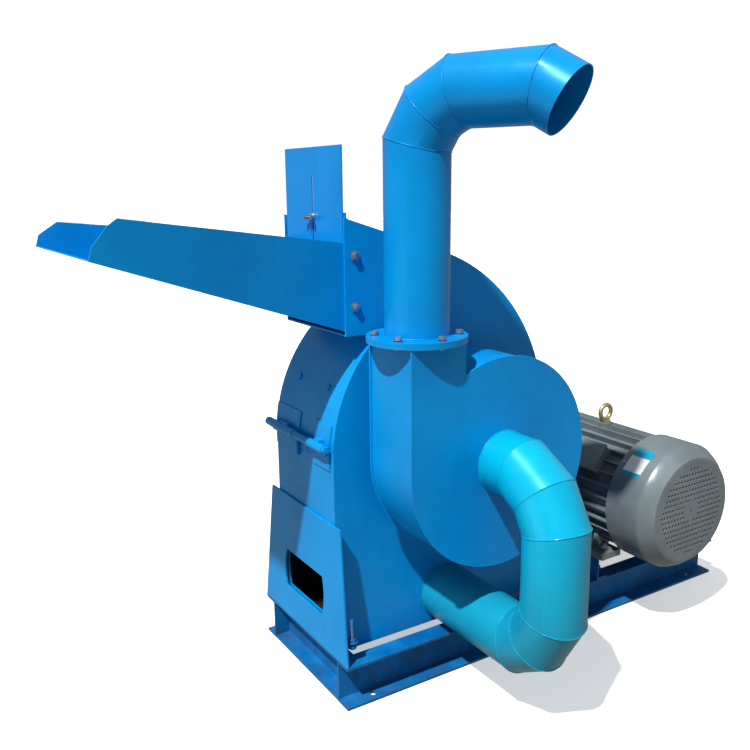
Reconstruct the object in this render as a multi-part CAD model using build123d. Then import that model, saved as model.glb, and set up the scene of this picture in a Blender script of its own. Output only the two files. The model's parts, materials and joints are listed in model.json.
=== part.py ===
from build123d import *
import os
from math import acos, asin, atan2, cos, degrees, hypot, radians, sin, sqrt, tan

os.makedirs("parts", exist_ok=True)

# Hammer mill. Origin: centre of the base on the floor. +X towards the motor, +Z up.
# The fan housing is on the -Y side.

# ---- base frame
base_length = 1440.0
base_width = 480.0
rail_height = 120.0
rail_flange = 53.0
rail_web = 6.0
rail_flange_thick = 9.0
cross_depth = 50.0
foundation_hole_r = 9.0
foundation_inset_x = 90.0
foundation_inset_y = 24.0

# ---- milling casing
shaft_from_front = 365.0
shaft_height = 648.0
casing_half_length = 348.0
casing_width = 320.0
side_plate = 5.0
wrap_plate = 4.0
leg_plate = 6.0
leg_top_height = 478.0
leg_top_half_width = 195.0
window_width = 206.0
window_height = 110.0
window_bulge = 10.0
window_bottom = 207.0

# ---- hood, feed mouth, chute and gate
split_height = shaft_height + 27.0
split_gap = 0.6
front_arc_r = 409.0
rear_arc_r = 525.0
mouth_from_front = 60.0
mouth_bottom = shaft_height + 308.0
mouth_top = shaft_height + 592.0
chute_plate = 3.0
chute_reach = 603.0
chute_far_extra = 18.0
chute_tip_half_width = 213.0
chute_floor_at_mouth = shaft_height + 324.0
chute_floor_at_tip = shaft_height + 530.0
chute_wall_top_at_mouth = shaft_height + 533.0
chute_wall_tops_at_tip = (shaft_height + 608.0, shaft_height + 589.0)
chute_noses = (64.0, 52.0)
gate_width = 294.0
gate_plate = 4.0
gate_bottom = shaft_height + 427.0
gate_top = shaft_height + 759.0
gate_slot_bottom = shaft_height + 502.0
gate_slot_top = shaft_height + 690.0
clamp_height = shaft_height + 589.0
clamp_stud_r = 3.0
clamp_slot_half = 3.4
hinge_spans = ((20.0, 156.0), (-144.0, -60.0))
hinge_knuckle_r = 12.0
hinge_pin_r = 6.0
hinge_standoff = 16.0
hinge_bar_r = 10.0

# ---- rotor
shaft_r = 25.0
bearing_y = casing_width / 2 + 27.5
bearing_width = 40.0
disc_r = 215.0
disc_plate = 8.0
disc_pitch = 62.0
disc_count = 5
pin_circle_r = 190.0
pin_r = 10.0
hammer_reach = 130.0
hammer_back = 24.0
hammer_width = 50.0
hammer_plate = 6.0
screen_r = 330.0
screen_plate = 3.0
running_fit = 0.05

# ---- fan
fan_far_y = -casing_width / 2 - 55.0
fan_near_y = fan_far_y - 180.0
fan_plate = 5.0
scroll_start_r = 263.0
scroll_end_r = 275.0
duct_width = 155.0
duct_top = shaft_height + 309.0
impeller_r = 222.0

# ---- pipes
outlet_pipe_r = 77.0
intake_pipe_r = 79.0
pipe_wall = 2.5
flange_r = 120.0
flange_thick = 8.0
flange_bolt_r = 99.0
outlet_rise = shaft_height + 754.0
outlet_heading = 27.0
outlet_links = (79.0, 73.0, 188.0, 64.0)
intake_height = 204.0
intake_out = 70.0
intake_links = (90.0, 83.0)
intake_low_links = (92.0, 74.0)

# ---- motor
motor_from_front = 1050.0
motor_foot_height = 200.0
motor_centre_rise = 180.0
motor_face_y = -437.0
cover_length = 154.0
cover_r = 190.0
cover_face_r = 146.0
frame_r = 160.0
fin_r = 181.0
fin_count = 30
frame_end_y = 100.0
foot_centre_y = -97.5
foot_span = 279.0
motor_shaft_r = 24.0
slide_height = 80.0
slide_flange = 43.0

# ---- belt drive
belt_plane_y = casing_width / 2 + 87.5
belt_pitch = 19.0
belt_count = 3
belt_width = 12.0
belt_thick = 9.0
small_pulley_r = 75.0
large_pulley_r = 145.0
pulley_width = 63.0
belt_gap = 0.5

# ---- positions that follow
front_x = -base_length / 2
shaft_x = front_x + shaft_from_front
casing_front = shaft_x - casing_half_length
casing_rear = shaft_x + casing_half_length
half_width = casing_width / 2
inner_half = half_width - side_plate
mouth_x = front_x + mouth_from_front
rail_inner_y = base_width / 2 - rail_flange
motor_x = front_x + motor_from_front
motor_z = motor_foot_height + motor_centre_rise
hinge_x = casing_front - hinge_standoff
hinge_z = split_height


def block(x0, x1, y0, y1, z0, z1):
    centre = Pos((x0 + x1) / 2, (y0 + y1) / 2, (z0 + z1) / 2)
    return centre * Box(abs(x1 - x0), abs(y1 - y0), abs(z1 - z0))


def rod_x(y, z, r, x0, x1):
    return Pos((x0 + x1) / 2, y, z) * Rot(0, 90, 0) * Cylinder(r, abs(x1 - x0))


def rod_y(x, z, r, y0, y1):
    return Pos(x, (y0 + y1) / 2, z) * Rot(90, 0, 0) * Cylinder(r, abs(y1 - y0))


def rod_z(x, y, r, z0, z1):
    return Pos(x, y, (z0 + z1) / 2) * Cylinder(r, abs(z1 - z0))


def ring_y(x, z, outer, inner, y0, y1):
    return rod_y(x, z, outer, y0, y1) - rod_y(x, z, inner, y0 - 1, y1 + 1)


def slab_y(face, y0, y1):
    # a face drawn in X and Z, given its depth along Y
    return Pos(0, y1, 0) * extrude(Plane.XZ * face, y1 - y0)


def slab_x(face, x0, x1):
    # a face drawn in Y and Z, given its depth along X
    return Pos(x0, 0, 0) * extrude(Plane.YZ * face, x1 - x0)


def both_sides(piece):
    return [piece, mirror(piece, about=Plane.XZ)]


def hexagon(r, height):
    return extrude(RegularPolygon(r, 6), height)


def bolt_z(x, y, z, r, down, up=0.0):
    # hexagon head seated at z with its shank going down, or up out of the head as well
    head = Pos(x, y, z) * hexagon(r * 1.75, r * 1.3)
    shank = rod_z(x, y, r, z - down, z + r * 1.3 + up)
    return head + shank


def bolt_y(x, y, z, r, inward):
    # hexagon head seated on a face at y that looks along -Y
    head = Pos(x, y, z) * Rot(90, 0, 0) * hexagon(r * 1.75, r * 1.3)
    shank = rod_y(x, z, r, y, y + inward)
    return head + shank


def save(node, pieces):
    whole = Part() + pieces if isinstance(pieces, list) else pieces
    export_step(whole, "parts/" + node + ".step")


# ---- base frame: two long channels with their flanges outward, three cross channels
def channel_face(depth, height, web, flange):
    outline = [(0, 0), (depth, 0), (depth, flange * 0.8), (web, flange), (web, height - flange)]
    outline += [(depth, height - flange * 0.8), (depth, height), (0, height)]
    return make_face(Polyline(outline, close=True))


rail_face = Pos(rail_inner_y, 0) * channel_face(rail_flange, rail_height, rail_web, rail_flange_thick)
rail = slab_x(rail_face, front_x, -front_x)
for hole_x in (front_x + foundation_inset_x, -front_x - foundation_inset_x):
    hole_y = base_width / 2 - foundation_inset_y
    rail = rail - rod_z(hole_x, hole_y, foundation_hole_r, -1, rail_flange_thick + 1)
slide_xs = (motor_x - foot_span / 2, motor_x + foot_span / 2)
slide_bolt_y = rail_inner_y + rail_flange * 0.55
slide_bolt_r = 6.0
for hole_x in slide_xs:
    slot_foot = rail_height - 2 * rail_flange_thick
    rail = rail - rod_z(hole_x, slide_bolt_y, slide_bolt_r, slot_foot, rail_height + 1)
stud_x = front_x + 30.0
stud_y = rail_inner_y + rail_flange * 0.55
stud_r = 6.0
rail = rail - rod_z(stud_x, stud_y, stud_r, rail_height - 2 * rail_flange_thick, rail_height + 1)
save("rail_far", rail)
save("rail_near", mirror(rail, about=Plane.XZ))

cross_face = channel_face(cross_depth, rail_height, rail_web, rail_flange_thick)
cross_rear = slab_y(Pos(-front_x - cross_depth, 0) * cross_face, -rail_inner_y, rail_inner_y)
cross_mid_x = casing_rear - cross_depth + leg_plate + 16.0
cross_mid = slab_y(Pos(cross_mid_x, 0) * cross_face, -rail_inner_y, rail_inner_y)
save("cross_members", [mirror(cross_rear, about=Plane.YZ), cross_mid, cross_rear])


def corner_stud(side):
    rod = rod_z(stud_x, side * stud_y, stud_r, rail_height - 22, rail_height + 62)
    upper = Pos(stud_x, side * stud_y, rail_height) * hexagon(stud_r * 1.8, 10)
    lower = Pos(stud_x, side * stud_y, rail_height - rail_flange_thick - 10) * hexagon(stud_r * 1.8, 10)
    return rod + upper + lower


base_bolts = [corner_stud(-1), corner_stud(1)]

# ---- motor slides: two short channels across the rails
slide_face = channel_face(slide_flange, slide_height, 5.0, 8.0)
slides = []
for slide_x, flip in ((slide_xs[0], 1), (slide_xs[1], -1)):
    slide = slab_y(Pos(-slide_flange / 2, rail_height) * slide_face, -base_width / 2, base_width / 2)
    if flip < 0:
        slide = mirror(slide, about=Plane.YZ)
    slide = Pos(slide_x, 0, 0) * slide
    for side in (-1, 1):
        slide = slide - rod_z(slide_x, side * slide_bolt_y, slide_bolt_r, rail_height - 1, rail_height + 10)
        hole_y = foot_centre_y + side * foot_span / 2
        slide = slide - rod_z(slide_x, hole_y, 7.0, motor_foot_height - 10, motor_foot_height + 1)
    slides.append(slide)
save("motor_slides", slides)
for slide_x in slide_xs:
    for side in (-1, 1):
        rod = rod_z(slide_x, side * slide_bolt_y, slide_bolt_r, rail_height - 24, rail_height + 30)
        upper = Pos(slide_x, side * slide_bolt_y, rail_height + 8) * hexagon(slide_bolt_r * 1.8, 10)
        nut_foot = rail_height - rail_flange_thick - 10
        lower = Pos(slide_x, side * slide_bolt_y, nut_foot) * hexagon(slide_bolt_r * 1.8, 10)
        base_bolts.append(rod + upper + lower)
save("base_bolts", base_bolts)

# ---- lower casing: open-topped box with a round suction hole and a shaft notch on each side
shaft_notch_r = shaft_r + 8.0
lower_top = split_height - split_gap
casing = block(casing_front, casing_rear, -half_width, half_width, rail_height, lower_top)
hollow = block(
    casing_front + side_plate, casing_rear - side_plate,
    -inner_half, inner_half,
    rail_height + side_plate, lower_top + 1
)
casing = casing - hollow
casing = casing - rod_y(shaft_x, shaft_height, shaft_notch_r, -half_width - 1, half_width + 1)
casing = casing - block(
    shaft_x - shaft_notch_r, shaft_x + shaft_notch_r,
    -half_width - 1, half_width + 1,
    shaft_height, lower_top + 1
)
casing = casing - rod_y(shaft_x, intake_height, intake_pipe_r - pipe_wall, -half_width - 1, -inner_half + 1)


def window_face(margin):
    w = window_width / 2 + margin
    low = window_bottom - margin
    high = window_bottom + window_height + margin
    mid = (low + high) / 2
    right = ThreePointArc((w, low), (w + window_bulge, mid), (w, high))
    left = ThreePointArc((-w, high), (-w - window_bulge, mid), (-w, low))
    return make_face([right, Line((w, high), (-w, high)), left, Line((-w, low), (w, low))])


casing = casing - slab_x(window_face(4.0), casing_front - 1, casing_front + side_plate + 1)
rear_flange = block(casing_rear, casing_rear + 26, -half_width, half_width, lower_top - 5, lower_top)
latch_y = 95.0
latch_slot = 16.0
for side in (-1, 1):
    rear_flange = rear_flange - block(
        casing_rear + 8, casing_rear + 27, side * latch_y - latch_slot / 2, side * latch_y + latch_slot / 2,
        lower_top - 6, lower_top + 1
    )
latch_pivot_x = casing_rear + 17.0
latch_pivot_z = lower_top - 62.0
latch_pins = []
latch_lugs = []
for side in (-1, 1):
    for cheek in (-1, 1):
        y = side * latch_y + cheek * 12.0
        lug = block(casing_rear, casing_rear + 27, y - 3, y + 3, latch_pivot_z - 12, latch_pivot_z + 12)
        latch_lugs.append(lug - rod_y(latch_pivot_x, latch_pivot_z, 5, y - 5, y + 5))
    latch_pins.append(rod_y(latch_pivot_x, latch_pivot_z, 5, side * latch_y - 17, side * latch_y + 17))
save("lower_casing", casing + rear_flange + latch_lugs)
save("latch_pins", latch_pins)

# ---- leg plates: tapered skirts that carry the casing on the rails
leg_rise = leg_top_height - rail_height
leg_face = make_face(
    Polyline(
        [
            (-base_width / 2, 0), (base_width / 2, 0),
            (leg_top_half_width, leg_rise), (-leg_top_half_width, leg_rise)
        ],
        close=True
    )
)
leg_lean = atan2(shaft_from_front - casing_half_length - leg_plate - 0.5, leg_rise)
leg_plane = Plane(origin=(front_x, 0, rail_height), x_dir=(0, 1, 0), z_dir=(cos(leg_lean), 0, -sin(leg_lean)))
leg_solid = extrude(leg_plane * leg_face, leg_plate)
leg_solid = leg_solid & block(front_x - 1, casing_front, -base_width, base_width, rail_height, leg_top_height)
front_leg = leg_solid - slab_x(window_face(0.0), front_x - 5, casing_front + 1)
rear_leg = Pos(shaft_x, 0, 0) * mirror(Pos(-shaft_x, 0, 0) * leg_solid, about=Plane.YZ)
save("front_leg_plate", front_leg)
save("rear_leg_plate", rear_leg)

# ---- hood outline in X and Z
drum_arc_x = casing_front + front_arc_r
drum_top_x = drum_arc_x - sqrt(front_arc_r**2 - (mouth_bottom - shaft_height) ** 2)
rear_arc_x = casing_rear - rear_arc_r
mouth_reach = hypot(mouth_x - rear_arc_x, mouth_top - shaft_height)
mouth_slope = atan2(mouth_top - shaft_height, mouth_x - rear_arc_x)
tangent_angle = degrees(mouth_slope - acos(rear_arc_r / mouth_reach))
top_slope = -1 / tan(radians(tangent_angle))
below = shaft_height - 30.0


def hood_outline(inset):
    x0 = casing_front + inset
    x1 = casing_rear - inset
    drum = front_arc_r - inset
    back = rear_arc_r - inset
    lip = mouth_bottom + inset
    lip_x = drum_arc_x - sqrt(drum**2 - (lip - shaft_height) ** 2)
    lip_angle = degrees(atan2(lip - shaft_height, lip_x - drum_arc_x))
    tangent_x = rear_arc_x + back * cos(radians(tangent_angle))
    tangent_z = shaft_height + back * sin(radians(tangent_angle))
    front = mouth_x + inset
    peak = tangent_z + top_slope * (front - tangent_x)
    return make_face(
        [
            Line((x0, below), (x0, shaft_height)),
            CenterArc((drum_arc_x, shaft_height), drum, 180, lip_angle - 180),
            Line((lip_x, lip), (front, lip)),
            Line((front, lip), (front, peak)),
            Line((front, peak), (tangent_x, tangent_z)),
            CenterArc((rear_arc_x, shaft_height), back, tangent_angle, -tangent_angle),
            Line((x1, shaft_height), (x1, below)),
            Line((x1, below), (x0, below)),
        ]
    )


hood_face = hood_outline(0.0)
hood_inside = hood_outline(wrap_plate)
hood = slab_y(hood_face, -half_width, half_width) - slab_y(hood_inside, -inner_half, inner_half)
hood = hood & block(front_x - 50, casing_rear + 50, -half_width, half_width, split_height, mouth_top + 50)
hood = hood - block(
    mouth_x - 1, mouth_x + 22, -inner_half, inner_half, mouth_bottom + wrap_plate, mouth_top + 20
)
hood = hood - rod_y(shaft_x, shaft_height, shaft_notch_r, -half_width - 1, half_width + 1)
flange_end = casing_rear + 26
hood_flange = block(casing_rear - 3, flange_end, -half_width, half_width, split_height, split_height + 5)
for side in (-1, 1):
    hood_flange = hood_flange - block(
        casing_rear + 8, casing_rear + 27, side * latch_y - latch_slot / 2, side * latch_y + latch_slot / 2,
        split_height - 1, split_height + 6
    )
hood = hood + hood_flange
chute_bolt_x = mouth_x + 27.0
chute_bolt_zs = (shaft_height + 379.0, shaft_height + 502.0)
chute_bolt_r = 5.0
for bolt_height in chute_bolt_zs:
    hood = hood - rod_y(chute_bolt_x, bolt_height, chute_bolt_r, -half_width - 1, half_width + 1)
liner_bolt_r = 5.0
liner_bolt_angle = 24.0
liner_bolt_y = 78.0
liner_dir = (-cos(radians(liner_bolt_angle)), sin(radians(liner_bolt_angle)))
liner_plane_at = []
for side in (-1, 1):
    seat_x = drum_arc_x + front_arc_r * liner_dir[0]
    seat_z = shaft_height + front_arc_r * liner_dir[1]
    origin = (seat_x, side * liner_bolt_y, seat_z)
    liner_plane_at.append(Plane(origin=origin, z_dir=(liner_dir[0], 0, liner_dir[1])))
for plane in liner_plane_at:
    hood = hood - plane * Pos(0, 0, -4) * Cylinder(liner_bolt_r, 24)
save("hood_shell", hood)

# ---- wear liner bolted inside the front of the hood
liner_outer = front_arc_r - wrap_plate
liner_thick = 8.0
liner_from = 175.0
liner_to = degrees(atan2(mouth_bottom - shaft_height, drum_top_x - drum_arc_x)) + 6.0
liner_face = make_face(
    [
        CenterArc((drum_arc_x, shaft_height), liner_outer, liner_to, liner_from - liner_to),
        Line(
            (
                drum_arc_x + liner_outer * cos(radians(liner_from)),
                shaft_height + liner_outer * sin(radians(liner_from))
            ),
            (drum_arc_x + (liner_outer - liner_thick) * cos(radians(liner_from)),
             shaft_height + (liner_outer - liner_thick) * sin(radians(liner_from))),
        ),
        CenterArc((drum_arc_x, shaft_height), liner_outer - liner_thick, liner_to, liner_from - liner_to),
        Line(
            (
                drum_arc_x + liner_outer * cos(radians(liner_to)),
                shaft_height + liner_outer * sin(radians(liner_to))
            ),
            (drum_arc_x + (liner_outer - liner_thick) * cos(radians(liner_to)),
             shaft_height + (liner_outer - liner_thick) * sin(radians(liner_to))),
        ),
    ]
)
liner = slab_y(liner_face, -inner_half + 3, inner_half - 3)
for plane in liner_plane_at:
    liner = liner - plane * Pos(0, 0, -4) * Cylinder(liner_bolt_r, 40)
save("hood_liner", liner)
liner_bolts = []
for plane in liner_plane_at:
    head = plane * Pos(0, 0, 0) * Cylinder(9, 5, align=(Align.CENTER, Align.CENTER, Align.MIN))
    shank = plane * Pos(0, 0, -wrap_plate - liner_thick) * Cylinder(
        liner_bolt_r, wrap_plate + liner_thick, align=(Align.CENTER, Align.CENTER, Align.MIN)
    )
    liner_bolts.append(head + shank)
save("liner_bolts", liner_bolts)

# ---- hood hinges: two barrel hinges on the front face at the split, on one long pin
leaf_thick = 4.0
leaf_height = 58.0
knuckle_gap = 0.4
drum_cut = slab_y(hood_face, -half_width - 10, half_width + 10)


def hinge_leaf(span, up):
    # the upper leaf has the middle knuckle and follows the drum, the lower one has the two outer knuckles
    low, high = span
    third = (high - low) / 3
    if up:
        z0, z1 = hinge_z + 4, hinge_z + leaf_height
        leaf = rod_y(drum_arc_x, shaft_height, front_arc_r + leaf_thick, low, high)
        leaf = leaf & block(casing_front - leaf_thick - 1, casing_front + 30, low, high, z0, z1)
        knuckles = [(low + third + knuckle_gap, high - third - knuckle_gap)]
        reach = (hinge_z + 2, z0 + 14)
        bore_r = hinge_pin_r + running_fit
    else:
        z0, z1 = hinge_z - leaf_height, hinge_z - 4
        leaf = block(casing_front - leaf_thick, casing_front, low, high, z0, z1)
        knuckles = [(low, low + third), (high - third, high)]
        reach = (z1 - 14, hinge_z - 2)
        bore_r = hinge_pin_r
    for start, end in knuckles:
        web = block(hinge_x, casing_front - leaf_thick / 2 + (6 if up else 0), start, end, reach[0], reach[1])
        leaf = leaf + rod_y(hinge_x, hinge_z, hinge_knuckle_r, start, end) + web
    leaf = leaf - rod_y(hinge_x, hinge_z, bore_r, low - 1, high + 1)
    return leaf - drum_cut if up else leaf


save("hood_hinge_leaves", [hinge_leaf(span, True) for span in hinge_spans])
save("casing_hinge_leaves", [hinge_leaf(span, False) for span in hinge_spans])
far_span, near_span = hinge_spans
pin_far = far_span[1] + 22
pin_near = near_span[0] - 12
handle_y = far_span[0] - 14
pin = rod_y(hinge_x, hinge_z, hinge_pin_r, pin_near, pin_far)
pin = pin + rod_y(hinge_x, hinge_z, hinge_bar_r, near_span[1] + knuckle_gap, far_span[0] - knuckle_gap)
pin = pin + rod_y(hinge_x, hinge_z, hinge_knuckle_r - 0.5, far_span[1] + knuckle_gap, pin_far)
pin = pin + Pos(hinge_x, near_span[0] - knuckle_gap, hinge_z) * Rot(90, 0, 0) * hexagon(11, 10)
pin = pin + rod_z(hinge_x, handle_y, 4.5, hinge_z - 52, hinge_z)
save("hinge_pins", pin)

# ---- rear latches: swing bolts hung under the lower flange
latch_r = 6.0
latch_reach = 96.0
for node, side in (("swing_bolt_near", -1), ("swing_bolt_far", 1)):
    y = side * latch_y
    eye = ring_y(latch_pivot_x, latch_pivot_z, 11, 5 + running_fit, y - 8, y + 8)
    stem = rod_z(latch_pivot_x, y, latch_r, latch_pivot_z - latch_reach, latch_pivot_z - 10)
    nut_z = latch_pivot_z - 86
    nut = Pos(latch_pivot_x, y, nut_z) * hexagon(12, 12)
    washer = rod_z(latch_pivot_x, y, 15, nut_z + 12, nut_z + 15)
    grip = rod_y(latch_pivot_x, nut_z + 6, 4, y - 34, y + 34)
    save(node, eye + stem + nut + washer + grip)

# ---- feed chute: flared trough sloping down into the mouth
slope = atan2(chute_floor_at_tip - chute_floor_at_mouth, chute_reach)
floor_length = chute_reach / cos(slope)
floor_inset = 25.0
mouth_half = inner_half
flare = atan2(chute_tip_half_width - mouth_half, chute_reach)
far_length = (chute_reach + chute_far_extra) / cos(slope)
far_half_width = mouth_half + (chute_reach + chute_far_extra) * tan(flare)
floor_face = make_face(
    Polyline(
        [
            (-floor_inset, -mouth_half), (0, -mouth_half), (floor_length, -chute_tip_half_width),
            (far_length, far_half_width), (0, mouth_half), (-floor_inset, mouth_half)
        ],
        close=True
    )
)
floor_plane = Plane(
    origin=(mouth_x, 0, chute_floor_at_mouth),
    x_dir=(-cos(slope), 0, sin(slope)),
    z_dir=(-sin(slope), 0, -cos(slope))
)
floor = extrude(floor_plane * floor_face, chute_plate)
under = chute_plate / cos(slope)


def chute_wall(reach, top, nose):
    length = reach / cos(flare)
    tip_floor = chute_floor_at_mouth + reach * tan(slope)
    wall_face = make_face(
        Polyline(
            [
                (0, chute_floor_at_mouth - under), (length, tip_floor - under),
                (length - 8, tip_floor + 24), (length - nose + 22, top - 14),
                (length - nose, top), (0, chute_wall_top_at_mouth)
            ],
            close=True
        )
    )
    wall_plane = Plane(
        origin=(mouth_x, mouth_half, 0),
        x_dir=(-cos(flare), sin(flare), 0),
        z_dir=(sin(flare), cos(flare), 0)
    )
    return extrude(wall_plane * wall_face, -chute_plate)


near_wall = mirror(chute_wall(chute_reach, chute_wall_tops_at_tip[0], chute_noses[0]), about=Plane.XZ)
far_wall = chute_wall(chute_reach + chute_far_extra, chute_wall_tops_at_tip[1], chute_noses[1])
tail = 50.0
tail_drop = (chute_floor_at_tip - chute_floor_at_mouth) / chute_reach
tail_face = make_face(
    Polyline(
        [
            (mouth_x - 1.2, chute_floor_at_mouth), (mouth_x + tail, chute_floor_at_mouth),
            (mouth_x + tail, chute_wall_top_at_mouth - 10), (mouth_x - 1.2, chute_wall_top_at_mouth)
        ],
        close=True
    )
)
tail_wall = slab_y(tail_face, mouth_half - chute_plate, mouth_half)
chute = Part() + [floor, near_wall, far_wall] + both_sides(tail_wall)
for bolt_height in chute_bolt_zs:
    chute = chute - rod_y(chute_bolt_x, bolt_height, chute_bolt_r, -half_width - 1, half_width + 1)
save("feed_chute", chute)

chute_bolts = []
for bolt_height in chute_bolt_zs:
    near = bolt_y(chute_bolt_x, -half_width, bolt_height, chute_bolt_r, side_plate + chute_plate + 12)
    nut = Pos(chute_bolt_x, -mouth_half + chute_plate, bolt_height) * Rot(-90, 0, 0) * hexagon(9, 7)
    chute_bolts += both_sides(near + nut)
save("chute_bolts", chute_bolts)

# ---- feed gate: slotted slide plate with a clamp stud and wing nut
gate_x = mouth_x + 2.0
gate_face = Rectangle(gate_width, gate_top - gate_bottom)
slot_length = gate_slot_top - gate_slot_bottom
slot_centre = (gate_slot_top + gate_slot_bottom) / 2 - (gate_top + gate_bottom) / 2
gate_face = gate_face - Pos(0, slot_centre) * Rot(0, 0, 90) * SlotOverall(slot_length, 2 * clamp_slot_half)
gate = slab_x(Pos(0, (gate_top + gate_bottom) / 2) * gate_face, gate_x, gate_x + gate_plate)
save("feed_gate", gate)

bar_x = gate_x + gate_plate + 0.5
bar_half = mouth_half - chute_plate
clamp_bar = block(bar_x, bar_x + 5, -bar_half, bar_half, clamp_height - 22, clamp_height + 14)
clamp_bar = clamp_bar + block(bar_x, bar_x + 5, -mouth_half, mouth_half, clamp_height - 22, clamp_height + 2)
clamp_bar = clamp_bar - rod_x(0, clamp_height, clamp_stud_r, bar_x - 1, bar_x + 6)
stud = rod_x(0, clamp_height, clamp_stud_r, gate_x - 24, bar_x + 5)
stud = stud + Pos(bar_x + 5, 0, clamp_height) * Rot(0, 90, 0) * hexagon(9, 6)
save("gate_clamp_stud", stud)
nut_x = gate_x - 0.4
hub = rod_x(0, clamp_height, 10, nut_x - 12, nut_x)
washer = rod_x(0, clamp_height, 13, nut_x - 2, nut_x)
wings = hub + washer
for side in (-1, 1):
    wing = Pos(nut_x - 13, side * 15, clamp_height) * Rot(0, 0, side * 25) * Box(4, 20, 12)
    wings = wings + wing
wings = wings - rod_x(0, clamp_height, clamp_stud_r + running_fit, nut_x - 40, nut_x + 1)
save("gate_wing_nut", wings)

guide_x = gate_x - 4.3
guides = [clamp_bar]
for side in (-1, 1):
    edge = side * (mouth_half - chute_plate)
    back = block(bar_x, bar_x + 4, edge, edge - side * 14, gate_bottom - 70, clamp_height - 30)
    front = block(guide_x, guide_x + 4, edge, edge - side * 14, gate_bottom - 70, gate_bottom + 60)
    guides += [back, front]
save("gate_guides", guides)

# ---- screen under the rotor with its support ribs
screen_from = 184.0
screen_to = 356.0


def sector(outer, inner, start, stop):
    a = radians(start)
    b = radians(stop)
    return make_face(
        [
            CenterArc((shaft_x, shaft_height), outer, start, stop - start),
            Line(
                (shaft_x + outer * cos(b), shaft_height + outer * sin(b)),
                (shaft_x + inner * cos(b), shaft_height + inner * sin(b))
            ),
            CenterArc((shaft_x, shaft_height), inner, start, stop - start),
            Line(
                (shaft_x + outer * cos(a), shaft_height + outer * sin(a)),
                (shaft_x + inner * cos(a), shaft_height + inner * sin(a))
            ),
        ]
    )


screen_face = sector(screen_r + screen_plate, screen_r, screen_from, screen_to)
screen = slab_y(screen_face, -inner_half + 1, inner_half - 1)
rib_face = sector(screen_r + screen_plate + 8, screen_r + screen_plate - 1, screen_from, screen_to)
screen = screen + [slab_y(rib_face, y - 3, y + 3) for y in (-inner_half + 4, 0, inner_half - 4)]
screen_holes = []
for row in range(17):
    angle = screen_from + 6 + row * 10.0
    for column in range(9):
        y = (column - 4) * 32.0 + (8 if row % 2 else -8)
        spot = Pos(shaft_x, y, shaft_height) * Rot(0, -angle, 0) * Pos(screen_r, 0, 0) * Rot(0, 90, 0)
        screen_holes.append(spot * Cylinder(6, 20))
screen = screen - screen_holes
save("screen", screen)

# ---- shaft, bearings and their brackets
impeller_hub_y = fan_near_y + 42.0
shaft_end_y = belt_plane_y + pulley_width / 2 + 8
sleeve_r = 46.0
shaft_solid = rod_y(shaft_x, shaft_height, shaft_r, impeller_hub_y, shaft_end_y)
shaft_solid = shaft_solid + rod_y(shaft_x, shaft_height, sleeve_r, -inner_half + 6, inner_half - 6)
save("mill_shaft", shaft_solid)

bracket_bottom = shaft_height - 150.0
bearing_foot = shaft_height - 52.0
housings = []
for side in (-1, 1):
    y0 = side * bearing_y - bearing_width / 2
    y1 = side * bearing_y + bearing_width / 2
    cap = rod_y(shaft_x, shaft_height, 48, y0, y1)
    foot = block(shaft_x - 92, shaft_x + 92, y0, y1, bearing_foot, bearing_foot + 18)
    neck = block(shaft_x - 46, shaft_x + 46, y0, y1, bearing_foot + 10, shaft_height)
    housing = cap + foot + neck - rod_y(shaft_x, shaft_height, shaft_r + running_fit, y0 - 1, y1 + 1)
    for along in (-1, 1):
        hole_x = shaft_x + along * 72
        housing = housing - rod_z(hole_x, side * bearing_y, 7, bearing_foot - 1, bearing_foot + 30)
    housings.append(housing)
save("bearing_housings", housings)

bracket_plate = 8.0
brackets = []
for side in (-1, 1):
    y0 = side * half_width
    y1 = side * (bearing_y + bearing_width / 2)
    shelf = block(shaft_x - 100, shaft_x + 100, y0, y1, bearing_foot - bracket_plate, bearing_foot)
    for along in (-1, 1):
        shelf = shelf - rod_z(shaft_x + along * 72, side * bearing_y, 7, bearing_foot - 20, bearing_foot + 1)
    for along in (-1, 0, 1):
        rib_top = bearing_foot - bracket_plate
        rib_outline = [(y0, rib_top), (y1, rib_top), (y0, bracket_bottom)]
        rib_at = shaft_x + along * 90
        rib = slab_x(make_face(Polyline(rib_outline, close=True)), rib_at - 4, rib_at + 4)
        shelf = shelf + rib
    brackets.append(shelf)
save("bearing_brackets", brackets)
bearing_bolts = []
for side in (-1, 1):
    for along in (-1, 1):
        bolt_at = shaft_x + along * 72
        bearing_bolts.append(bolt_z(bolt_at, side * bearing_y, bearing_foot + 18, 7, 18 + bracket_plate))
save("bearing_bolts", bearing_bolts)

# ---- rotor discs, hammer pins, spacers and hammers
disc_ys = [(index - (disc_count - 1) / 2) * disc_pitch for index in range(disc_count)]
pin_angles = (45, 135, 225, 315)
pin_spots = [
    (shaft_x + pin_circle_r * cos(radians(a)), shaft_height + pin_circle_r * sin(radians(a)))
    for a in pin_angles
]
discs = []
for y in disc_ys:
    disc = ring_y(shaft_x, shaft_height, disc_r, sleeve_r, y - disc_plate / 2, y + disc_plate / 2)
    for px, pz in pin_spots:
        disc = disc - rod_y(px, pz, pin_r, y - disc_plate, y + disc_plate)
    discs.append(disc)
save("rotor_discs", discs)
pin_end = disc_ys[-1] + disc_plate / 2 + 7
hammer_pins = []
for px, pz in pin_spots:
    rod = rod_y(px, pz, pin_r, -pin_end, pin_end)
    for side in (-1, 1):
        rod = rod + rod_y(px, pz, pin_r + 4, side * (disc_ys[-1] + disc_plate / 2), side * pin_end)
    hammer_pins.append(rod)
save("hammer_pins", hammer_pins)

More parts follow.
